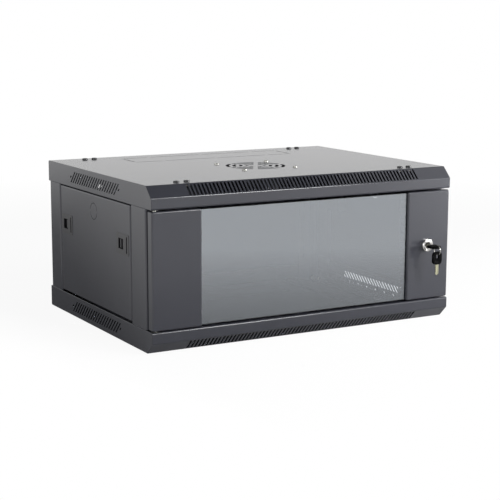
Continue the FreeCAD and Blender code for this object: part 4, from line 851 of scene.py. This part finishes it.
def studio_floor():
    bpy.ops.object.select_all(action="DESELECT")
    bpy.ops.mesh.primitive_plane_add(size=FLOOR_SIZE, location=(0, 0, -FLOOR_DROP * MM))
    floor = named("floor")
    material, tree, shader, place = start_material("white_paper", Base_Color=linear("#F2F2F2"), Roughness=0.9)
    path = add_node(tree, "ShaderNodeLightPath", {}, {})
    to_left = add_node(tree, "ShaderNodeVectorMath", {"operation": "DOT_PRODUCT", 1: LEFT_SLOPE}, {0: place})
    to_front = add_node(tree, "ShaderNodeVectorMath", {"operation": "DOT_PRODUCT", 1: FRONT_SLOPE},
                        {0: place})
    away = add_node(tree, "ShaderNodeVectorMath", {"operation": "LENGTH"}, {0: place})
    # Painted light and shade for reflections: the brightest of three ramps, dim by the cabinet.
    painted_lit_sides = brighter(tree, painted_ramp(tree, to_left, *LEFT_REACH), painted_ramp(tree, to_front, *FRONT_REACH))
    painted_floor_light = brighter(tree, painted_lit_sides, painted_ramp(tree, away, *FAR_REACH))
    seen = straight_view(tree, path)
    level = add_node(tree, "ShaderNodeMix", {"B": 1.0}, {"Factor": seen, "A": painted_floor_light})
    white = add_node(tree, "ShaderNodeEmission", {"Color": (1, 1, 1, 1)},
                     {"Strength": level.outputs["Result"]})
    shown = add_node(tree, "ShaderNodeMath", {"operation": "MAXIMUM"},
                     {0: seen, 1: path.outputs["Is Glossy Ray"]})
    paper = add_node(tree, "ShaderNodeMapRange", {"To Min": LEAST_WHITE, "From Max": WHITE_FROM * PAPER},
                     {"Value": painted_floor_light})
    share = add_node(tree, "ShaderNodeMath", {"operation": "MULTIPLY"},
                     {0: shown.outputs["Value"], 1: paper.outputs["Result"]})
    mix = add_node(tree, "ShaderNodeMixShader", {},
                   {0: share.outputs["Value"], 1: shader.outputs["BSDF"], 2: white.outputs["Emission"]})
    tree.links.new(mix.outputs["Shader"], tree.nodes["Material Output"].inputs["Surface"])
    floor.data.materials.append(material)


def studio_sky():
    world = bpy.data.worlds.new("studio")
    bpy.context.scene.world = world
    world.use_nodes = True
    tree = world.node_tree
    place = add_node(tree, "ShaderNodeTexCoord", {}, {})
    height = add_node(tree, "ShaderNodeSeparateXYZ", {}, {"Vector": place.outputs["Generated"]})
    dome = add_node(tree, "ShaderNodeMapRange",
                    {"From Min": SKY_LOW, "From Max": SKY_HIGH, "To Min": 1.0, "To Max": SKY_TOP},
                    {"Value": height.outputs["Z"]})
    path = add_node(tree, "ShaderNodeLightPath", {}, {})
    level = add_node(tree, "ShaderNodeMix", {"B": 1.0},
                     {"Factor": straight_view(tree, path), "A": dome.outputs["Result"]})
    sky = tree.nodes["Background"]
    tree.links.new(level.outputs["Result"], sky.inputs["Strength"])
    sky.inputs["Color"].default_value = (1, 1, 1, 1)


studio_floor()
studio_sky()
print("floor", FLOOR_SIZE, "m wide, under the sky", bpy.context.scene.world.name)

# %% [markdown]
# ## Lights
#
# Five soft boxes. A small one low on the right throws the lock's shadow to the
# left. A tall one in front, up high, draws the thin bright line along the folds.
# A wide one on the right and a weak one overhead lift the right end, and one on
# the left opens up the side panel.

# %% Lights
def soft_box(name, place, target, width, height, power):
    """Area light in metres and watts that looks at a point."""
    light = bpy.data.lights.new(name, "AREA")
    light.shape = "RECTANGLE"
    light.size = width
    light.size_y = height
    light.energy = power
    lamp = bpy.data.objects.new(name, light)
    bpy.context.collection.objects.link(lamp)
    lamp.location = place
    lamp.rotation_euler = (Vector(target) - Vector(place)).to_track_quat("-Z", "Y").to_euler()


soft_box("low_light", (1.15, -0.8, 0.3), (0.2, -0.22, 0.14), 0.28, 0.28, 12.0)
soft_box("front_light", (1.12, -2.05, 1.46), (0.0, -0.2, 0.2), 0.62, 1.0, 38.0)
soft_box("right_light", (2.2, -1.3, 1.0), (0.1, -0.2, 0.14), 1.0, 1.0, 14.0)
soft_box("over_light", (1.75, -0.45, 2.0), (0.3, -0.2, 0.26), 0.9, 0.9, 2.0)
soft_box("left_light", (-2.4, -1.0, 0.9), (-0.3, 0.0, 0.14), 1.2, 1.2, 18.0)

# %% [markdown]
# ## Camera
#
# The photograph was taken from the left, a little above the roof, with a long
# lens. The place and the angles come from a fit of the cabinet's edges to it.

# %% Camera
CAMERA_PLACE = Vector((-1.20107, -2.13361, 0.55109))
CAMERA_YAW = 0.51623
CAMERA_PITCH = -0.17595
CAMERA_ROLL = 0.00316
CAMERA_LENS = 95.7


def photo_camera():
    camera = bpy.data.objects.new("camera", bpy.data.cameras.new("camera"))
    bpy.context.collection.objects.link(camera)
    camera.data.lens = CAMERA_LENS
    ahead = Vector((math.sin(CAMERA_YAW) * math.cos(CAMERA_PITCH),
                    math.cos(CAMERA_YAW) * math.cos(CAMERA_PITCH), math.sin(CAMERA_PITCH)))
    level = Vector((math.cos(CAMERA_YAW), -math.sin(CAMERA_YAW), 0))
    above = level.cross(ahead)
    right = level * math.cos(CAMERA_ROLL) + above * math.sin(CAMERA_ROLL)
    up = above * math.cos(CAMERA_ROLL) - level * math.sin(CAMERA_ROLL)
    turn = Matrix((right, up, -ahead)).transposed().to_4x4()
    camera.matrix_world = Matrix.Translation(CAMERA_PLACE) @ turn
    bpy.context.scene.camera = camera


photo_camera()
bpy.context.scene.view_settings.view_transform = "Standard"
print("camera at", [round(v, 3) for v in CAMERA_PLACE], "with a lens of", CAMERA_LENS, "mm")
